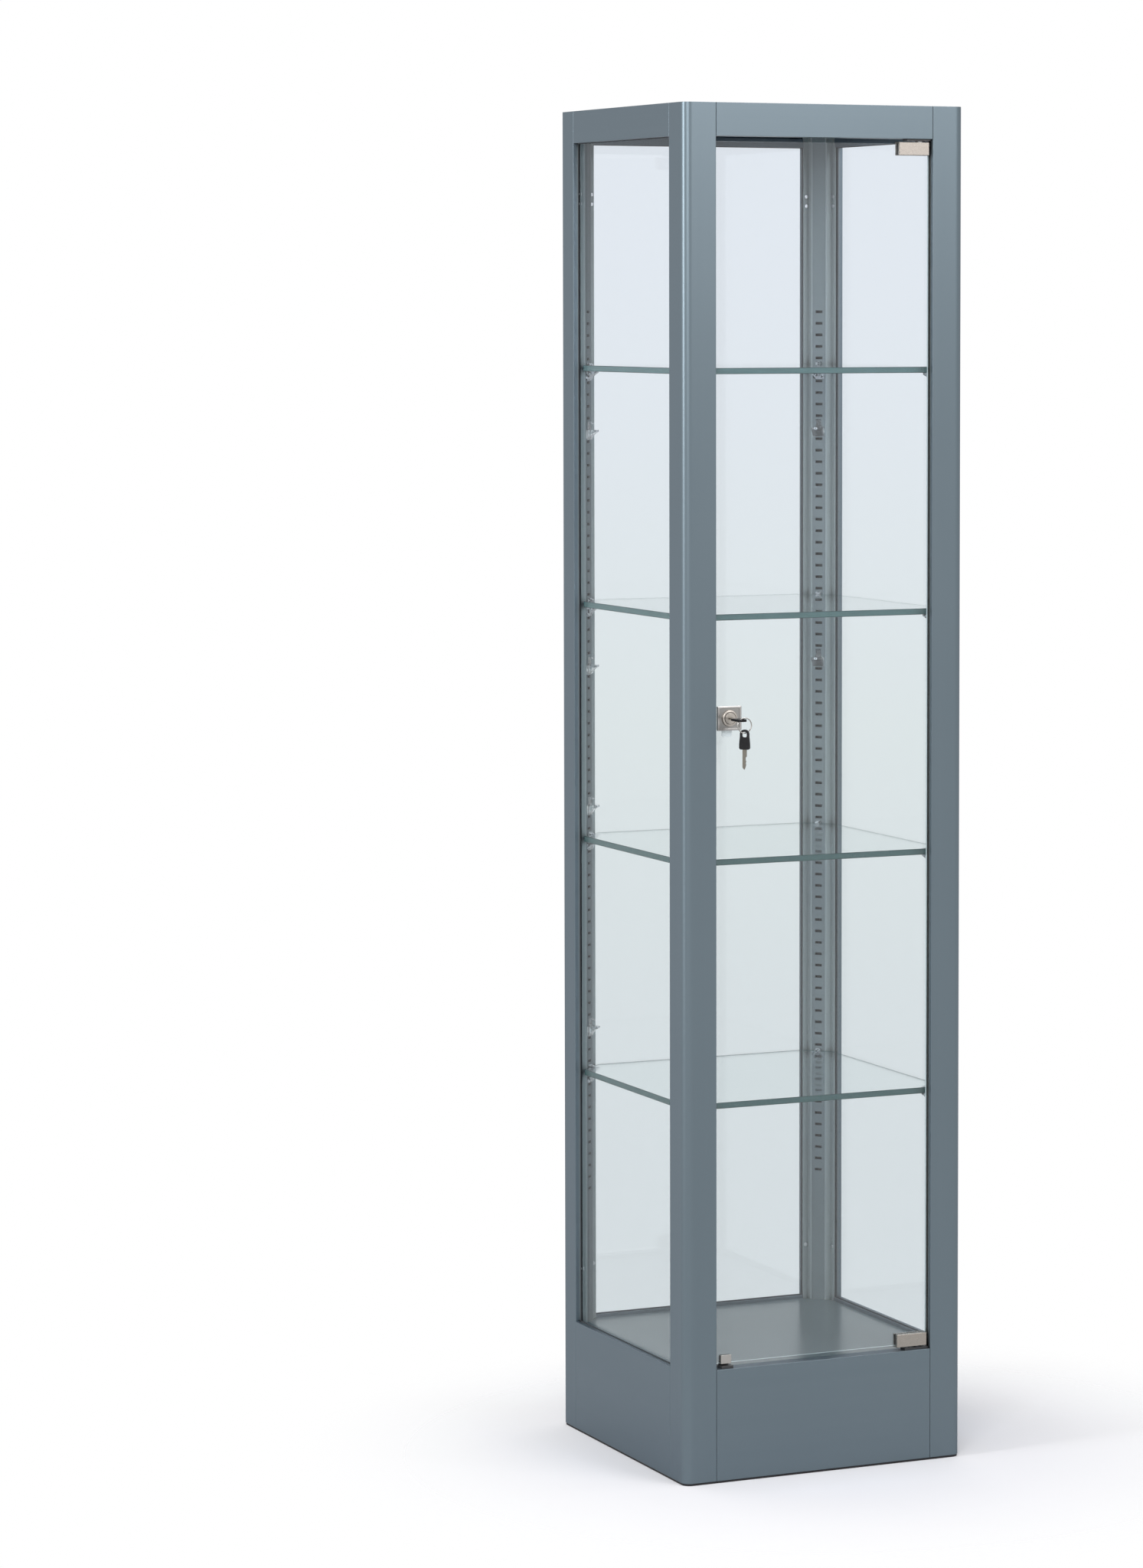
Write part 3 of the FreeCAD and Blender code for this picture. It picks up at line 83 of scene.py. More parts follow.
# the nodes of one material, or of the world
class Finish:
    def __init__(self, name, owner=None):
        self.holder = owner or bpy.data.materials.new(name)
        self.holder.use_nodes = True
        self.tree = self.holder.node_tree
        self.tree.nodes.clear()

    def node(self, kind, settings=None, sockets=None):
        made = self.tree.nodes.new(kind)
        for key, value in (settings or {}).items():
            if key == "stops":
                self.setStops(made.color_ramp, value)
            else:
                setattr(made, key, value)
        for key, value in (sockets or {}).items():
            if isinstance(value, Wire):
                self.tree.links.new(value.socket, made.inputs[key])
            else:
                made.inputs[key].default_value = value
        return Wire(self, made.outputs[0]) if made.outputs else None

    def setStops(self, ramp, stops):
        while len(ramp.elements) < len(stops):
            ramp.elements.new(0.5)  # moved to its own place below
        for element, (place, shade) in zip(ramp.elements, stops):
            element.position = place
            element.color = shade

    def place(self, output="Object"):
        return self.node("ShaderNodeTexCoord").out(output)

    def stretched(self, scale):
        return self.node("ShaderNodeMapping", None, {"Vector": self.place(), "Scale": scale})

    def noise(self, vector, scale, detail=3.0, rough=0.5):
        return self.node("ShaderNodeTexNoise", None,
                         {"Vector": vector, "Scale": scale, "Detail": detail, "Roughness": rough})

    def axis(self, vector, letter):
        return self.node("ShaderNodeSeparateXYZ", None, {0: vector}).out("XYZ".index(letter))

    def vector(self, operation, *terms):
        return self.node("ShaderNodeVectorMath", {"operation": operation}, dict(enumerate(terms)))

    # how far the surface is from a point
    def away(self, point):
        return self.vector("DISTANCE", self.place(), point).out("Value")

    # colours have sockets 6 and 7 of the Mix node, and its output 2
    def blend(self, factor, first, second):
        return self.node("ShaderNodeMix", {"data_type": "RGBA"},
                         {0: factor, 6: first, 7: second}).out(2)

    def spread(self, value, low, high):
        return self.node("ShaderNodeMapRange", {"interpolation_type": "SMOOTHSTEP"}, {
            "Value": value, "From Min": low, "From Max": high, "To Min": 0.0, "To Max": 1.0})

    def bump(self, height, strength, distance, normal=None):
        sockets = {"Height": height, "Strength": strength, "Distance": distance}
        if normal:
            sockets["Normal"] = normal
        return self.node("ShaderNodeBump", None, sockets)

    # normal rounded over the sharp edges, and how near an edge the place is, from 0 to 1, for edge
    # wear and painted edge highlight
    def softEdges(self, radius):
        rounded = self.node("ShaderNodeBevel", {"samples": finishing["edgeSamples"]},
                            {"Radius": radius})
        flat = self.node("ShaderNodeNewGeometry").out("Normal")
        turned = 1.0 - self.vector("DOT_PRODUCT", rounded, flat).out("Value")
        return rounded, self.spread(turned, finishing["edgeWearLightFrom"], finishing["edgeWearLightTo"])

    # how deep in a groove or inner corner, from 0 to 1; the finishes paint shade with it
    def crevice(self, reach, alone=True):
        clearness = self.node("ShaderNodeAmbientOcclusion", {
            "samples": finishing["grooveSamples"], "only_local": alone}, {"Distance": reach})
        return 1.0 - clearness.out("AO")

    # rays that show the studio: straight, mirrored, or through glass
    def seen(self):
        light = self.node("ShaderNodeLightPath")
        return (light.out("Is Camera Ray") | light.out("Is Glossy Ray")
                | light.out("Is Transmission Ray"))

    def shader(self, sockets):
        return self.node("ShaderNodeBsdfPrincipled", None, sockets)

    def mixShader(self, factor, first, second):
        return self.node("ShaderNodeMixShader", None, {0: factor, 1: first, 2: second})

    def surface(self, shader):
        self.node("ShaderNodeOutputMaterial", None, {"Surface": shader})
        return self.holder


def colour(red, green, blue):
    return (red, green, blue, 1.0)


# a tone made paler or darker
def shaded(tone, gain, lift=0.0):
    return colour(*[level * gain + lift for level in tone[:3]])


def dress(finish, *names):
    for name in names:
        piece = nodes[name]
        piece.data.materials.clear()
        piece.data.materials.append(finish)


corners = ("front_left", "front_right", "rear_left", "rear_right")

# blue-grey satin coating on the drawn aluminium
framePaint = {
    "tone": colour(0.142, 0.179, 0.203),
    "shade": colour(0.124, 0.160, 0.184),
    "metal": 0.60,
    "roughness": 0.32,
    "gloss": 0.18,
    "grazing": colour(0.54, 0.55, 0.60),
    "streakStretch": 0.012,
    "streakScale": 70.0,
    "streakDetail": 4.0,
    "streakRough": 0.6,
    "streakShare": 0.55,
    "cloudScale": 3.0,
    "cloudShare": 0.45,
    "cloudSwing": 0.08,
    "fleckScale": 2600.0,
    "fleckSwing": 0.16,
    "fineDetail": 2.0,
    "bumpShare": 0.5,
    "bumpStrength": 0.22,
    "bumpDepth": 0.00004,
    "edgeRadius": 0.0008,
    # paler edges: part wear, part painted highlight on the arrises
    "worn": colour(0.300, 0.340, 0.365),
    "wornShare": 0.55,
    # faces turned into the cabinet, paler as painted light
    "postInnerLit": colour(0.300, 0.335, 0.325),
    "stripInnerLit": colour(0.175, 0.204, 0.207),
    "innerDull": 0.28,
    "outerFace": 0.203,
    "innerFrom": 0.004,
    "innerTo": 0.009,
    "uprightLimit": 0.5,
    # painted shade in the channel behind the slots, in deep seams and inner corners
    "cavityShade": colour(0.010, 0.011, 0.012),
    "cavityShadeReach": 0.018,
    "cavityShadeFrom": 0.55,
    "cavityShadeTo": 0.76,
}


def makeFramePaint(name, along, innerLitTone=None):
    paint = framePaint
    finish = Finish(name)
    stretch = [1.0, 1.0, 1.0]
    stretch["xyz".index(along)] = paint["streakStretch"]
    streak = finish.noise(finish.stretched(stretch), paint["streakScale"],
                          paint["streakDetail"], paint["streakRough"])
    cloud = finish.noise(finish.place(), paint["cloudScale"], paint["fineDetail"])
    fleck = finish.noise(finish.place(), paint["fleckScale"], paint["fineDetail"])
    rounded, worn = finish.softEdges(paint["edgeRadius"])
    coat = finish.blend(streak * paint["streakShare"] + cloud * paint["cloudShare"],
                        paint["shade"], paint["tone"])
    dullness = 0.0
    if innerLitTone:  # paler where upright as painted light, and duller
        outward = abs(finish.axis(finish.place(), "X")) | abs(finish.axis(finish.place(), "Y"))
        inside = finish.spread(paint["outerFace"] - outward, paint["innerFrom"], paint["innerTo"])
        upright = abs(finish.axis(finish.place("Normal"), "Z")) < paint["uprightLimit"]
        coat = finish.blend(inside * upright, coat, paint[innerLitTone])
        dullness = inside * paint["innerDull"]
    # edges turned paler, part wear and part painted highlight
    wornAndLitEdges = finish.blend(worn * paint["wornShare"], coat, paint["worn"])
    # painted shade where nearby surfaces shut the place in
    shutInShade = finish.spread(finish.crevice(paint["cavityShadeReach"], False),
                           paint["cavityShadeFrom"], paint["cavityShadeTo"])
    return finish.surface(finish.shader({
        "Base Color": finish.blend(shutInShade, wornAndLitEdges, paint["cavityShade"]),
        "Metallic": paint["metal"] - dullness,
        "Roughness": (paint["roughness"] + dullness + fleck.swing(paint["fleckSwing"])
                      + cloud.swing(paint["cloudSwing"])),
        "Specular IOR Level": paint["gloss"],
        "Specular Tint": paint["grazing"],
        "Normal": finish.bump((streak + fleck) * paint["bumpShare"], paint["bumpStrength"],
                              paint["bumpDepth"], rounded)}))


stripPaint = makeFramePaint("strip_paint", "z", "stripInnerLit")
postPaint = makeFramePaint("post_paint", "z", "postInnerLit")
crossPaint = makeFramePaint("cross_paint", "x")
deepPaint = makeFramePaint("deep_paint", "y")
dress(postPaint, *["post_" + corner for corner in corners])
dress(stripPaint, *["slotted_strip_" + corner for corner in corners])
dress(crossPaint, "header_front", "header_rear", "plinth_front", "plinth_rear")
dress(deepPaint, "header_left", "header_right", "plinth_left", "plinth_right")
print("frame painted")

# painted sheets: the deck is glossy, the roof is matt
sheetPaint = {
    "deck": {
        "tone": colour(0.127, 0.158, 0.159),
        "shade": colour(0.107, 0.136, 0.138),
        "roughness": 0.24,
        "gloss": 0.28,
    },
    "roof": {
        "tone": colour(0.140, 0.172, 0.192),
        "shade": colour(0.122, 0.154, 0.174),
        "roughness": 0.58,
        "gloss": 0.10,
    },
    "metal": 0.05,
    "cloudScale": 6.0,
    "hazeScale": 42.0,
    "hazeDetail": 4.0,
    "hazeRough": 0.6,
    "hazeSwing": 0.10,
    "peelScale": 900.0,
    "peelDetail": 2.0,
    "bumpStrength": 0.12,
    "bumpDepth": 0.00003,
}


def makeSheetPaint(name, key):
    paint = sheetPaint[key]
    finish = Finish(name)
    cloud = finish.noise(finish.place(), sheetPaint["cloudScale"])
    haze = finish.noise(finish.place(), sheetPaint["hazeScale"], sheetPaint["hazeDetail"],
                        sheetPaint["hazeRough"])
    peel = finish.noise(finish.place(), sheetPaint["peelScale"], sheetPaint["peelDetail"])
    return finish.surface(finish.shader({
        "Base Color": finish.blend(cloud, paint["shade"], paint["tone"]),
        "Metallic": sheetPaint["metal"],
        "Roughness": paint["roughness"] + haze.swing(sheetPaint["hazeSwing"]),
        "Specular IOR Level": paint["gloss"],
        "Normal": finish.bump(peel, sheetPaint["bumpStrength"], sheetPaint["bumpDepth"])}))


dress(makeSheetPaint("deck_paint", "deck"), "deck_panel")
dress(makeSheetPaint("roof_paint", "roof"), "roof_panel", "post_caps")

# board under the cabinet, rubber, black steel and plastic: tone, roughness, gloss, grain
darkStuff = {
    "board": (colour(0.012, 0.012, 0.014), 0.62, 0.30, 700.0),
    "rubber": (colour(0.010, 0.010, 0.011), 0.72, 0.30, 1800.0),
    "gasket": (colour(0.055, 0.060, 0.064), 0.72, 0.30, 1800.0),
    "blackSteel": (colour(0.030, 0.031, 0.033), 0.42, 0.50, 2400.0),
    "bow": (colour(0.008, 0.008, 0.009), 0.36, 0.16, 1500.0),
    "magnet": (colour(0.055, 0.056, 0.060), 0.50, 0.50, 2000.0),
}
darkSkin = {
    "paleGain": 1.8,
    "paleLift": 0.004,
    "wornCoarser": 12.0,
    "wornShare": 0.6,
    "wornSwing": 0.2,
    "bumpStrength": 0.25,
    "bumpDepth": 0.00006,
}


def makeDarkStuff(name, key):
    tone, roughness, gloss, grainScale = darkStuff[key]
    finish = Finish(name)
    grain = finish.noise(finish.place(), grainScale)
    worn = finish.noise(finish.place(), grainScale / darkSkin["wornCoarser"])
    pale = shaded(tone, darkSkin["paleGain"], darkSkin["paleLift"])
    return finish.surface(finish.shader({
        "Base Color": finish.blend(worn * darkSkin["wornShare"], tone, pale),
        "Roughness": roughness + worn.swing(darkSkin["wornSwing"]),
        "Specular IOR Level": gloss,
        "Normal": finish.bump(grain, darkSkin["bumpStrength"], darkSkin["bumpDepth"])}))


dress(makeDarkStuff("black_board", "board"), "base_board")
dress(makeDarkStuff("black_rubber", "rubber"), "hinge_liners")
dress(makeDarkStuff("gasket_rubber", "gasket"), "gasket_left", "gasket_right", "gasket_rear")
dress(makeDarkStuff("black_steel", "blackSteel"), "hinge_bracket_top", "hinge_bracket_bottom",
      "catch_base", "pivot_bush_top", "pivot_bush_bottom")
dress(makeDarkStuff("key_bow_black", "bow"), "key_bow", "spare_key_bow")
dress(makeDarkStuff("magnet_grey", "magnet"), "catch_magnet")

# bare metals: tone, roughness, stretch of the brushing
bareMetal = {
    "nickel": (colour(0.340, 0.315, 0.286), 0.28, (0.04, 1.0, 1.0)),
    "zinc": (colour(0.60, 0.61, 0.63), 0.34, (1.0, 1.0, 1.0)),
    "paleZinc": (colour(0.86, 0.88, 0.89), 0.40, (1.0, 1.0, 1.0)),
    "bright": (colour(0.40, 0.39, 0.375), 0.20, (1.0, 0.05, 0.05)),
    "keySteel": (colour(0.185, 0.175, 0.150), 0.36, (1.0, 1.0, 0.05)),
}
metalSkin = {
    "lineScale": 4200.0,
    "lineShare": 0.3,
    "lineSwing": 0.22,
    "cloudScale": 160.0,
    "cloudShare": 0.5,
    "cloudSwing": 0.10,
    "dullGain": 0.72,
    "edgeRadius": 0.0005,
    # paler edges, part wear and part painted highlight
    "edgeWearLightGain": 0.4,
    "edgeWearLightLift": 0.55,
    "wornShare": 0.5,
    # painted shade in grooves and hollows
    "grooveShade": colour(0.035, 0.032, 0.030),
    "grooveShadeReach": 0.0016,
    "grooveShadeFrom": 0.12,
    "grooveShadeTo": 0.75,
    "grooveShadeShare": 0.8,
    "bumpStrength": 0.18,
    "bumpDepth": 0.00003,
}


def makeBareMetal(name, key):
    tone, roughness, brushing = bareMetal[key]
    skin = metalSkin
    finish = Finish(name)
    lines = finish.noise(finish.stretched(brushing), skin["lineScale"])
    cloud = finish.noise(finish.place(), skin["cloudScale"])
    rounded, worn = finish.softEdges(skin["edgeRadius"])
    # painted shade where the piece's own grooves shut the surface in
    grooveShade = finish.spread(finish.crevice(skin["grooveShadeReach"]), skin["grooveShadeFrom"], skin["grooveShadeTo"])
    brushed = finish.blend(cloud * skin["cloudShare"] + lines * skin["lineShare"],
                           tone, shaded(tone, skin["dullGain"]))
    shadedInGrooves = finish.blend(grooveShade * skin["grooveShadeShare"], brushed, skin["grooveShade"])
    return finish.surface(finish.shader({
        # edges paler: wear and painted highlight
        "Base Color": finish.blend(worn * skin["wornShare"], shadedInGrooves,
                                   shaded(tone, skin["edgeWearLightGain"], skin["edgeWearLightLift"])),
        "Metallic": 1.0,
        "Roughness": roughness + lines.swing(skin["lineSwing"]) + cloud.swing(skin["cloudSwing"]),
        "Normal": finish.bump(lines, skin["bumpStrength"], skin["bumpDepth"], rounded)}))


dress(makeBareMetal("satin_nickel", "nickel"), "hinge_clamp_top", "hinge_clamp_bottom")
dress(makeBareMetal("zinc_steel", "zinc"), "pane_screws", "bracket_screws", "hinge_clamp_screws",
      "cam_screw", "lock_nut", "pivot_pin_top", "pivot_pin_bottom", "corner_angles")
dress(makeBareMetal("pale_zinc", "paleZinc"), "lock_cam")
dress(makeBareMetal("bright_steel", "bright"), "key_ring", "door_clip")
dress(makeBareMetal("key_steel", "keySteel"), "key_blade", "spare_key_blade")

# lock: bright rim round a brushed field, and a turned rose
lockFace = {
    "width": 0.035,
    "height": 0.032,
    "border": 0.003,
    "roseRadius": 0.0112,
    "rim": colour(0.430, 0.420, 0.410),
    "field": colour(0.290, 0.286, 0.278),
    "rose": colour(0.430, 0.400, 0.365),
    "ringScale": 2600.0,
    "brushing": (0.05, 1.0, 1.0),
    "roughness": 0.22,
    "fieldDull": 0.10,
    "grainSwing": 0.20,
    "grainGrime": 0.6,
    "grooveShadeFrom": 0.10,
    "grooveShadeTo": 0.65,
    "grooveShadeShare": 0.85,
    "wornShare": 0.5,
    "bumpStrength": 0.20,
    "bumpDepth": 0.00003,
}


def makeLockFace():
    face = lockFace
    finish = Finish("lock_face")
    lowest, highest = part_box("lock_cylinder")
    middle = [(low + high) / 2.0 for low, high in zip(lowest, highest)]
    offset = finish.vector("SUBTRACT", finish.place(), middle)
    across = finish.axis(offset, "X")
    up = finish.axis(offset, "Z")
    flat = finish.node("ShaderNodeCombineXYZ", None, {"X": across, "Z": up})
    radius = finish.vector("LENGTH", flat).out("Value")
    onRose = radius < face["roseRadius"]
    inside = ((abs(across) < face["width"] / 2.0 - face["border"])
              * (abs(up) < face["height"] / 2.0 - face["border"]))
    turning = finish.node("ShaderNodeCombineXYZ", None, {"X": radius})
    rings = finish.noise(turning, face["ringScale"])
    brushed = finish.noise(finish.stretched(face["brushing"]), metalSkin["lineScale"])
    grain = finish.node("ShaderNodeMix", {"data_type": "FLOAT"},
                        {0: onRose, 2: brushed, 3: rings})  # values have sockets 2 and 3
    rounded, worn = finish.softEdges(metalSkin["edgeRadius"])
    plate = finish.blend(inside, face["rim"], face["field"])
    whole = finish.blend(onRose, plate, face["rose"])
    # edges paler: part wear, part painted highlight
    wornAndLitEdges = finish.blend(worn * face["wornShare"], whole, face["rim"])
    # painted shade in the grooves, joined with the grain's darker rings
    groove = finish.spread(finish.crevice(metalSkin["grooveShadeReach"]),
                           face["grooveShadeFrom"], face["grooveShadeTo"])
    grooveShade = groove * face["grooveShadeShare"] | grain.swing(face["grainGrime"])
    return finish.surface(finish.shader({
        "Base Color": finish.blend(grooveShade, wornAndLitEdges, metalSkin["grooveShade"]),
        "Metallic": 1.0,
        "Roughness": (face["roughness"] + inside * face["fieldDull"]
                      + grain.swing(face["grainSwing"])),
        "Normal": finish.bump(grain, face["bumpStrength"], face["bumpDepth"], rounded)}))


dress(makeLockFace(), "lock_body", "lock_cylinder")
print("metal and black pieces done")

# glass: tinted, paler and bluer at the top as painted light, its ground edges told apart by the
# face's own direction
glassSheet = {
    "clearHigh": colour(0.866, 0.898, 0.934),
    "clearMiddle": colour(0.840, 0.880, 0.888),
    "clearLow": colour(0.808, 0.846, 0.864),
    # heights over which the painted light runs, darker and greener low down
    "paintedLightLow": 0.25,
    "paintedLightHigh": 1.70,
    "shelfClear": colour(0.920, 0.952, 0.945),
    "index": 1.5,
    "sideIndex": 1.15,
    "smearScale": 7.0,
    "smearDetail": 4.0,
    "smearRough": 0.6,
    "smearFrom": 0.74,
    "smearDull": 0.010,
    # edges: painted shade along the arrises, pale between them, paler higher up as painted light
    "shelfEdge": colour(0.012, 0.042, 0.039),
    "shelfEdgePale": colour(0.062, 0.140, 0.132),
    "shelfEdgeLitHigh": colour(0.125, 0.240, 0.232),
    "doorEdge": colour(0.860, 0.930, 0.920),
    "doorEdgeDeep": colour(0.420, 0.560, 0.540),
    "litHigherFrom": 0.70,
    "litHigherTo": 1.40,
    "flatLimit": 0.95,
    "arrisShare": 0.20,
    "depthStretch": (1.0, 1.0, 14.0),
    "depthScale": 22.0,
    "depthDetail": 2.0,
    "depthShare": 0.45,
    "edgeRoughness": 0.20,
    "edgeGloss": 0.22,
}


def makeGlass(name, flatAxis, index, tint, edgeTone, edgePale, edgeLitHigh):
    glass = glassSheet
    finish = Finish(name)
    onEdge = abs(finish.axis(finish.place("Normal"), flatAxis)) < glass["flatLimit"]
    light = finish.node("ShaderNodeLightPath")
    passing = light.out("Is Shadow Ray") | light.out("Is Diffuse Ray")
    height = finish.axis(finish.place(), "Z")
    clear = tint
    # painted light: the sheet darker and greener low down, paler and bluer high up
    if not clear:
        clear = finish.node("ShaderNodeValToRGB", {"stops": (
            (0.0, glass["clearLow"]), (0.5, glass["clearMiddle"]), (1.0, glass["clearHigh"]))},
            {0: finish.spread(height, glass["paintedLightLow"], glass["paintedLightHigh"])})
    smear = finish.noise(finish.place(), glass["smearScale"], glass["smearDetail"],
                         glass["smearRough"])
    body = finish.shader({
        "Base Color": clear,
        "Transmission Weight": 1.0,
        "IOR": glass[index],
        "Roughness": (smear > glass["smearFrom"]) * glass["smearDull"]})
    through = finish.node("ShaderNodeBsdfTransparent", None, {"Color": glass["clearHigh"]})
    half = 0.5  # Generated goes from 0 to 1 through the sheet
    across = abs(finish.axis(finish.place("Generated"), flatAxis) - half)
    arris = finish.spread(across, half - glass["arrisShare"], half)
    depth = finish.noise(finish.stretched(glass["depthStretch"]), glass["depthScale"],
                         glass["depthDetail"])
    # painted light: edges paler higher up
    litHigher = finish.spread(height, glass["litHigherFrom"], glass["litHigherTo"])
    core = finish.blend(litHigher, edgePale, edgeLitHigh)
    edge = finish.shader({
        # arrises darker as painted shade, with random deeper patches along the edge
        "Base Color": finish.blend(depth * glass["depthShare"] | arris, core, edgeTone),
        "Roughness": glass["edgeRoughness"],
        "Specular IOR Level": glass["edgeGloss"],
        "IOR": glass["index"]})
    sheet = finish.mixShader(passing, body, through)
    return finish.surface(finish.mixShader(onEdge, sheet, edge))


shelfEdges = (glassSheet["shelfEdge"], glassSheet["shelfEdgePale"], glassSheet["shelfEdgeLitHigh"])
doorEdges = (glassSheet["doorEdgeDeep"], glassSheet["doorEdge"], glassSheet["doorEdge"])
dress(makeGlass("side_glass", "X", "sideIndex", None, *shelfEdges), "pane_left", "pane_right")
dress(makeGlass("rear_glass", "Y", "index", None, *shelfEdges), "pane_rear")
dress(makeGlass("door_leaf", "Y", "index", None, *doorEdges), "door_glass")
dress(makeGlass("shelf_sheet", "Z", "index", glassSheet["shelfClear"], *shelfEdges),
      *[name for name in nodes if name.startswith("glass_shelf_")])

# clear moulded clips, full of small facets painted as glints and dark reflections; a spare one
# shows little but a painted highlight ring on its tip
clipPlastic = {
    "shelf": {
        "bright": colour(0.96, 0.98, 0.98),
        "middle": colour(0.55, 0.60, 0.61),
        "dark": colour(0.060, 0.075, 0.080),
        "cloudy": 0.40,
        "relief": 0.7,
    },
    "spare": {
        "bright": colour(0.97, 0.99, 0.99),
        "middle": colour(0.86, 0.89, 0.89),
        "dark": colour(0.60, 0.64, 0.65),
        "cloudy": 0.06,
        "relief": 0.25,
    },
    "facetScale": 430.0,
    "paintedGlintStops": (0.30, 0.42, 0.54),
    "flowScale": 220.0,
    "flowShare": 0.4,
    "flowSwing": 0.04,
    "roughness": 0.04,
    "index": 1.49,
    "bumpDepth": 0.0012,
    "clipApart": 0.012,
    "tipDepth": 0.0004,
    # painted highlight ring on a spare clip's tip
    "ringGlintRadius": 0.0024,
    "ringGlintCentre": 0.0009,
    "ringGlintTone": colour(0.93, 0.94, 0.93),
    "ringGlintRoughness": 0.3,
    "ringGlintDull": 0.1,
}


# middle of each clip's innermost end
def clipTips(name):
    piece = nodes[name]
    spots = [piece.matrix_world @ vertex.co for vertex in piece.data.vertices]
    spots.sort(key=lambda spot: (spot.x > 0.0, spot.y > 0.0, spot.z))
    clips = [[spots[0]]]
    for last, spot in zip(spots, spots[1:]):
        samePost = (last.x > 0.0, last.y > 0.0) == (spot.x > 0.0, spot.y > 0.0)
        if not samePost or spot.z - last.z > clipPlastic["clipApart"]:
            clips.append([])
        clips[-1].append(spot)
    tips = []
    for clip in clips:
        nearest = min(abs(spot.x) + abs(spot.y) for spot in clip)
        limit = nearest + clipPlastic["tipDepth"]
        end = [spot for spot in clip if abs(spot.x) + abs(spot.y) < limit]
        tips.append(sum(end, Vector()) / len(end))
    return tips


def makeClipPlastic(name, key, tips=()):
    plastic = clipPlastic[key]
    finish = Finish(name)
    flow = finish.noise(finish.place(), clipPlastic["flowScale"])
    # facet cells painted dark, middle and bright: painted glints and painted dark reflections
    facet = finish.node("ShaderNodeTexVoronoi", {"feature": "F1"},
                        {"Vector": finish.place(), "Scale": clipPlastic["facetScale"]})
    tones = (plastic["dark"], plastic["middle"], plastic["bright"])
    stops = list(zip(clipPlastic["paintedGlintStops"], tones))
    paintedGlint = finish.node("ShaderNodeValToRGB", {"stops": stops},
                        {0: finish.axis(facet.out("Color"), "X")})
    body = finish.shader({
        "Base Color": paintedGlint,
        "Transmission Weight": 1.0 - plastic["cloudy"],
        "IOR": clipPlastic["index"],
        "Roughness": clipPlastic["roughness"] + flow.swing(clipPlastic["flowSwing"]),
        "Normal": finish.bump(flow * clipPlastic["flowShare"] + facet, plastic["relief"],
                              clipPlastic["bumpDepth"])})
    if tips:
        away = 1.0  # more than any clip's size
        for tip in tips:
            away = finish.away(tip) & away
        # painted highlight ring in place of the clip's boss, which isn't modelled
        ring = (away < clipPlastic["ringGlintRadius"]) * (away > clipPlastic["ringGlintCentre"])
        ringGlint = finish.shader({
            "Base Color": clipPlastic["ringGlintTone"],
            "Roughness": clipPlastic["ringGlintRoughness"] + flow * clipPlastic["ringGlintDull"]})
        body = finish.mixShader(ring, body, ringGlint)
    through = finish.node("ShaderNodeBsdfTransparent", None, {"Color": plastic["bright"]})
    shadow = finish.node("ShaderNodeLightPath").out("Is Shadow Ray")
    return finish.surface(finish.mixShader(shadow, body, through))


dress(makeClipPlastic("clear_clip_plastic", "shelf"), "shelf_clips")
dress(makeClipPlastic("spare_clip_plastic", "spare", clipTips("spare_clips")), "spare_clips")
print("glass and clips done")

# studio: pale floor that fades into the white surround
studio = {
    "floorReach": 2.6,
    "fadeCentre": (0.05, -0.08, 0.0),
    "fadeFrom": 0.21,
    "fadeTo": 0.74,
    "floorTone": colour(0.86, 0.855, 0.882),
    "floorRoughness": 0.8,
    "floorGloss": 0.1,
    "grainScale": 60.0,
    "grainSwing": 0.1,
    "surroundTone": colour(1.0, 1.0, 1.0),
    "surround": 1.0,
    "ambientTone": colour(0.95, 0.97, 1.0),
    "ambient": 0.17,
}


def makeFloor():
    reach = studio["floorReach"]
    outline = [(-reach, -reach, 0), (reach, -reach, 0), (reach, reach, 0), (-reach, reach, 0)]
    mesh = bpy.data.meshes.new("studio_floor")
    mesh.from_pydata(outline, [], [(0, 1, 2, 3)])
    floor = bpy.data.objects.new("studio_floor", mesh)
    bpy.context.scene.collection.objects.link(floor)
    finish = Finish("studio_floor")
    fade = finish.spread(finish.away(studio["fadeCentre"]), studio["fadeFrom"], studio["fadeTo"])
    grain = finish.noise(finish.place(), studio["grainScale"])
    ground = finish.shader({
        "Base Color": studio["floorTone"],
        "Roughness": studio["floorRoughness"] + grain.swing(studio["grainSwing"]),
        "Specular IOR Level": studio["floorGloss"]})
    clear = finish.node("ShaderNodeBsdfTransparent")
    mesh.materials.append(finish.surface(finish.mixShader(fade * finish.seen(), ground, clear)))


def makeSurround():
    world = bpy.data.worlds.new("studio")
    bpy.context.scene.world = world
    finish = Finish("studio", world)
    white = finish.node("ShaderNodeBackground", None,
                        {"Color": studio["surroundTone"], "Strength": studio["surround"]})
    soft = finish.node("ShaderNodeBackground", None,
                       {"Color": studio["ambientTone"], "Strength": studio["ambient"]})
    finish.node("ShaderNodeOutputWorld", None,
                {"Surface": finish.mixShader(finish.seen(), soft, white)})


lampWhite = (1.0, 1.0, 1.0)
lampWarm = (1.0, 0.88, 0.86)
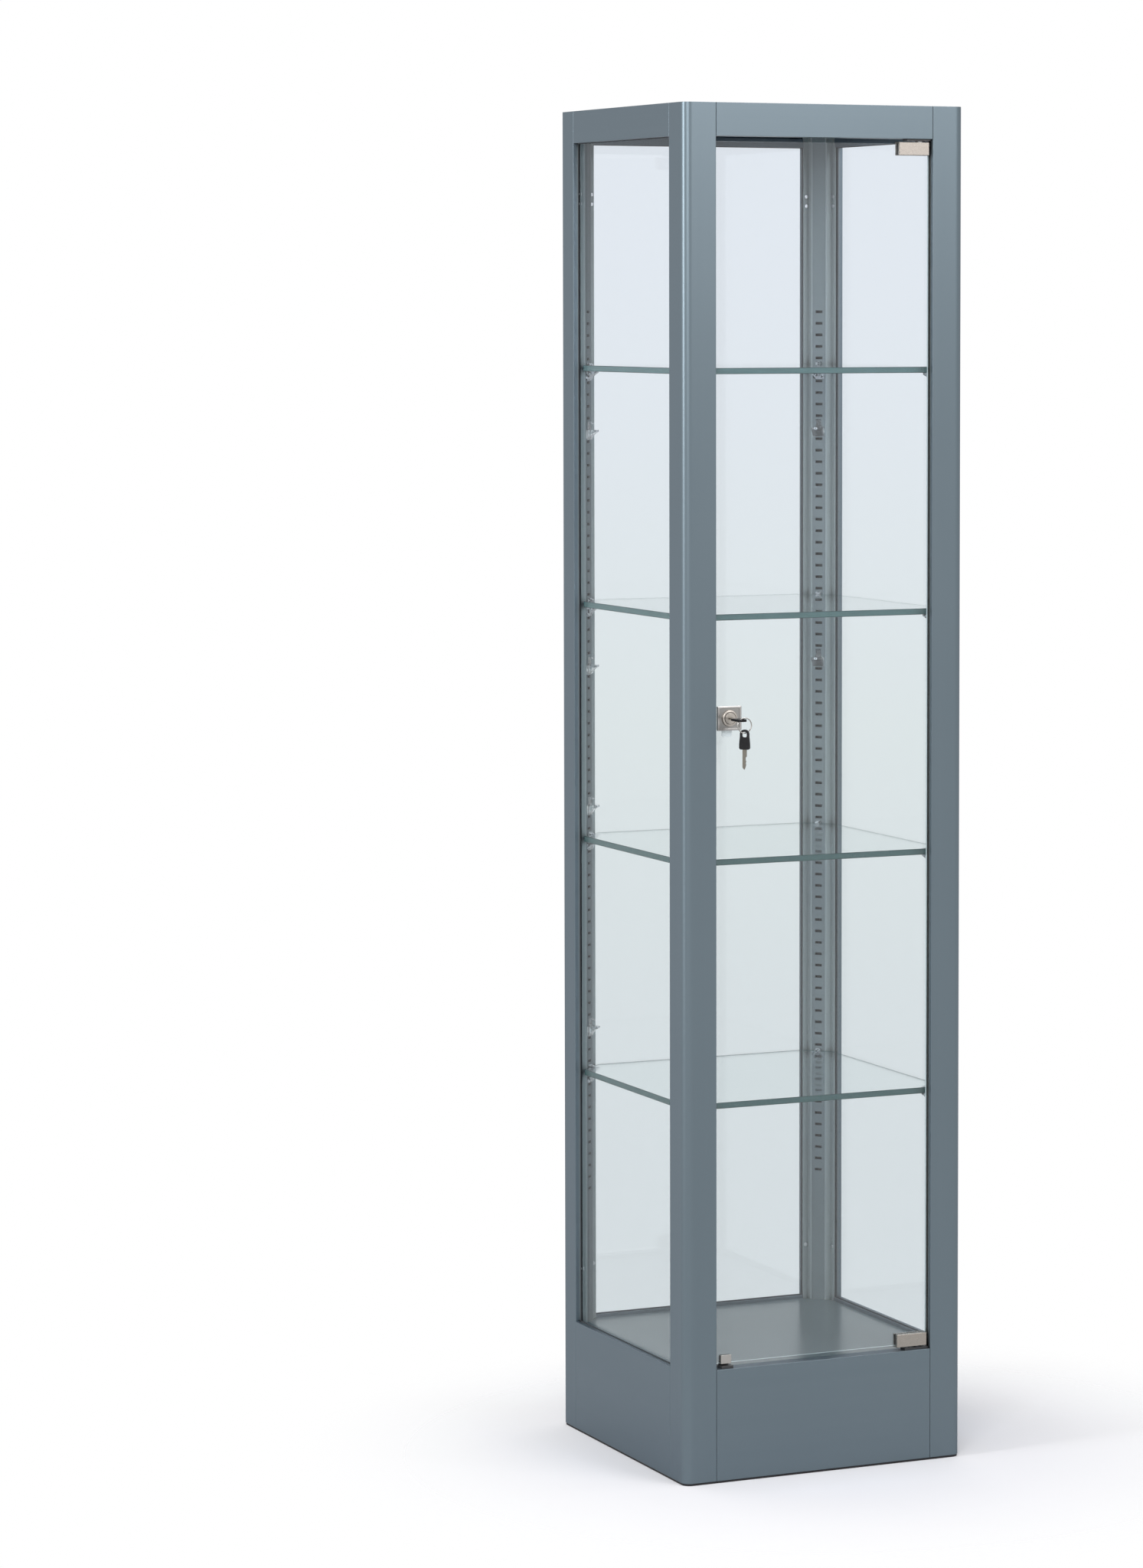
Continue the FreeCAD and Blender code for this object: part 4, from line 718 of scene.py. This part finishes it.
# place, aim, width, height, watts, tint
lamps = {
    "left_strip": ((-3.2, -0.35, 1.95), (-0.2, -0.2, 1.65), 0.7, 1.1, 38.0, lampWhite),
    "left_low": ((-3.2, -0.35, 0.75), (-0.2, -0.2, 0.75), 0.7, 1.1, 6.0, lampWhite),
    "front_box": ((1.9, -3.7, 3.3), (0.0, 0.0, 1.4), 2.4, 2.2, 80.0, lampWhite),
    "front_band": ((1.25, -4.0, 2.3), (0.0, -0.2, 1.7), 1.4, 0.8, 6.6, lampWarm),
    "fill_box": ((-2.8, -4.4, 3.0), (0.0, 0.0, 1.0), 2.2, 2.0, 128.0, lampWhite),
    "overhead_box": ((0.0, 0.2, 4.2), (0.0, 0.0, 0.0), 3.4, 3.4, 112.0, lampWhite),
}


def makeLamps():
    for name, (spot, aim, width, height, watts, tint) in lamps.items():
        data = bpy.data.lights.new(name, "AREA")
        data.shape = "RECTANGLE"
        data.size = width
        data.size_y = height
        data.energy = watts
        data.color = tint
        lamp = bpy.data.objects.new(name, data)
        lamp.location = spot
        lamp.rotation_euler = (Vector(aim) - Vector(spot)).to_track_quat("-Z", "Y").to_euler()
        bpy.context.scene.collection.objects.link(lamp)


# the photograph's viewpoint, turned in degrees, focal length in pixels of its height
viewpoint = {
    "spot": (-2.8151, -5.9533, 1.5418),
    "yaw": 25.206,
    "level": 90.0,  # a camera that isn't turned looks straight down
    "pitch": -3.615,
    "focalPixels": 6406.0,
    "tallPixels": 2048.0,
    "sensorWidth": 36.0,
    "shift": (-0.114, -0.109),
    "farthest": 60.0,
}


def makeCamera():
    data = bpy.data.cameras.new("photo_camera")
    data.sensor_width = viewpoint["sensorWidth"]
    data.lens = data.sensor_width * viewpoint["focalPixels"] / viewpoint["tallPixels"]
    data.shift_x, data.shift_y = viewpoint["shift"]
    data.clip_end = viewpoint["farthest"]
    camera = bpy.data.objects.new("photo_camera", data)
    camera.location = viewpoint["spot"]
    camera.rotation_euler = Euler((math.radians(viewpoint["level"] + viewpoint["pitch"]), 0.0,
                                   -math.radians(viewpoint["yaw"])))
    bpy.context.scene.collection.objects.link(camera)
    bpy.context.scene.camera = camera


makeFloor()
makeSurround()
makeLamps()
makeCamera()
bpy.context.scene.view_settings.view_transform = "Standard"
print("studio ready")
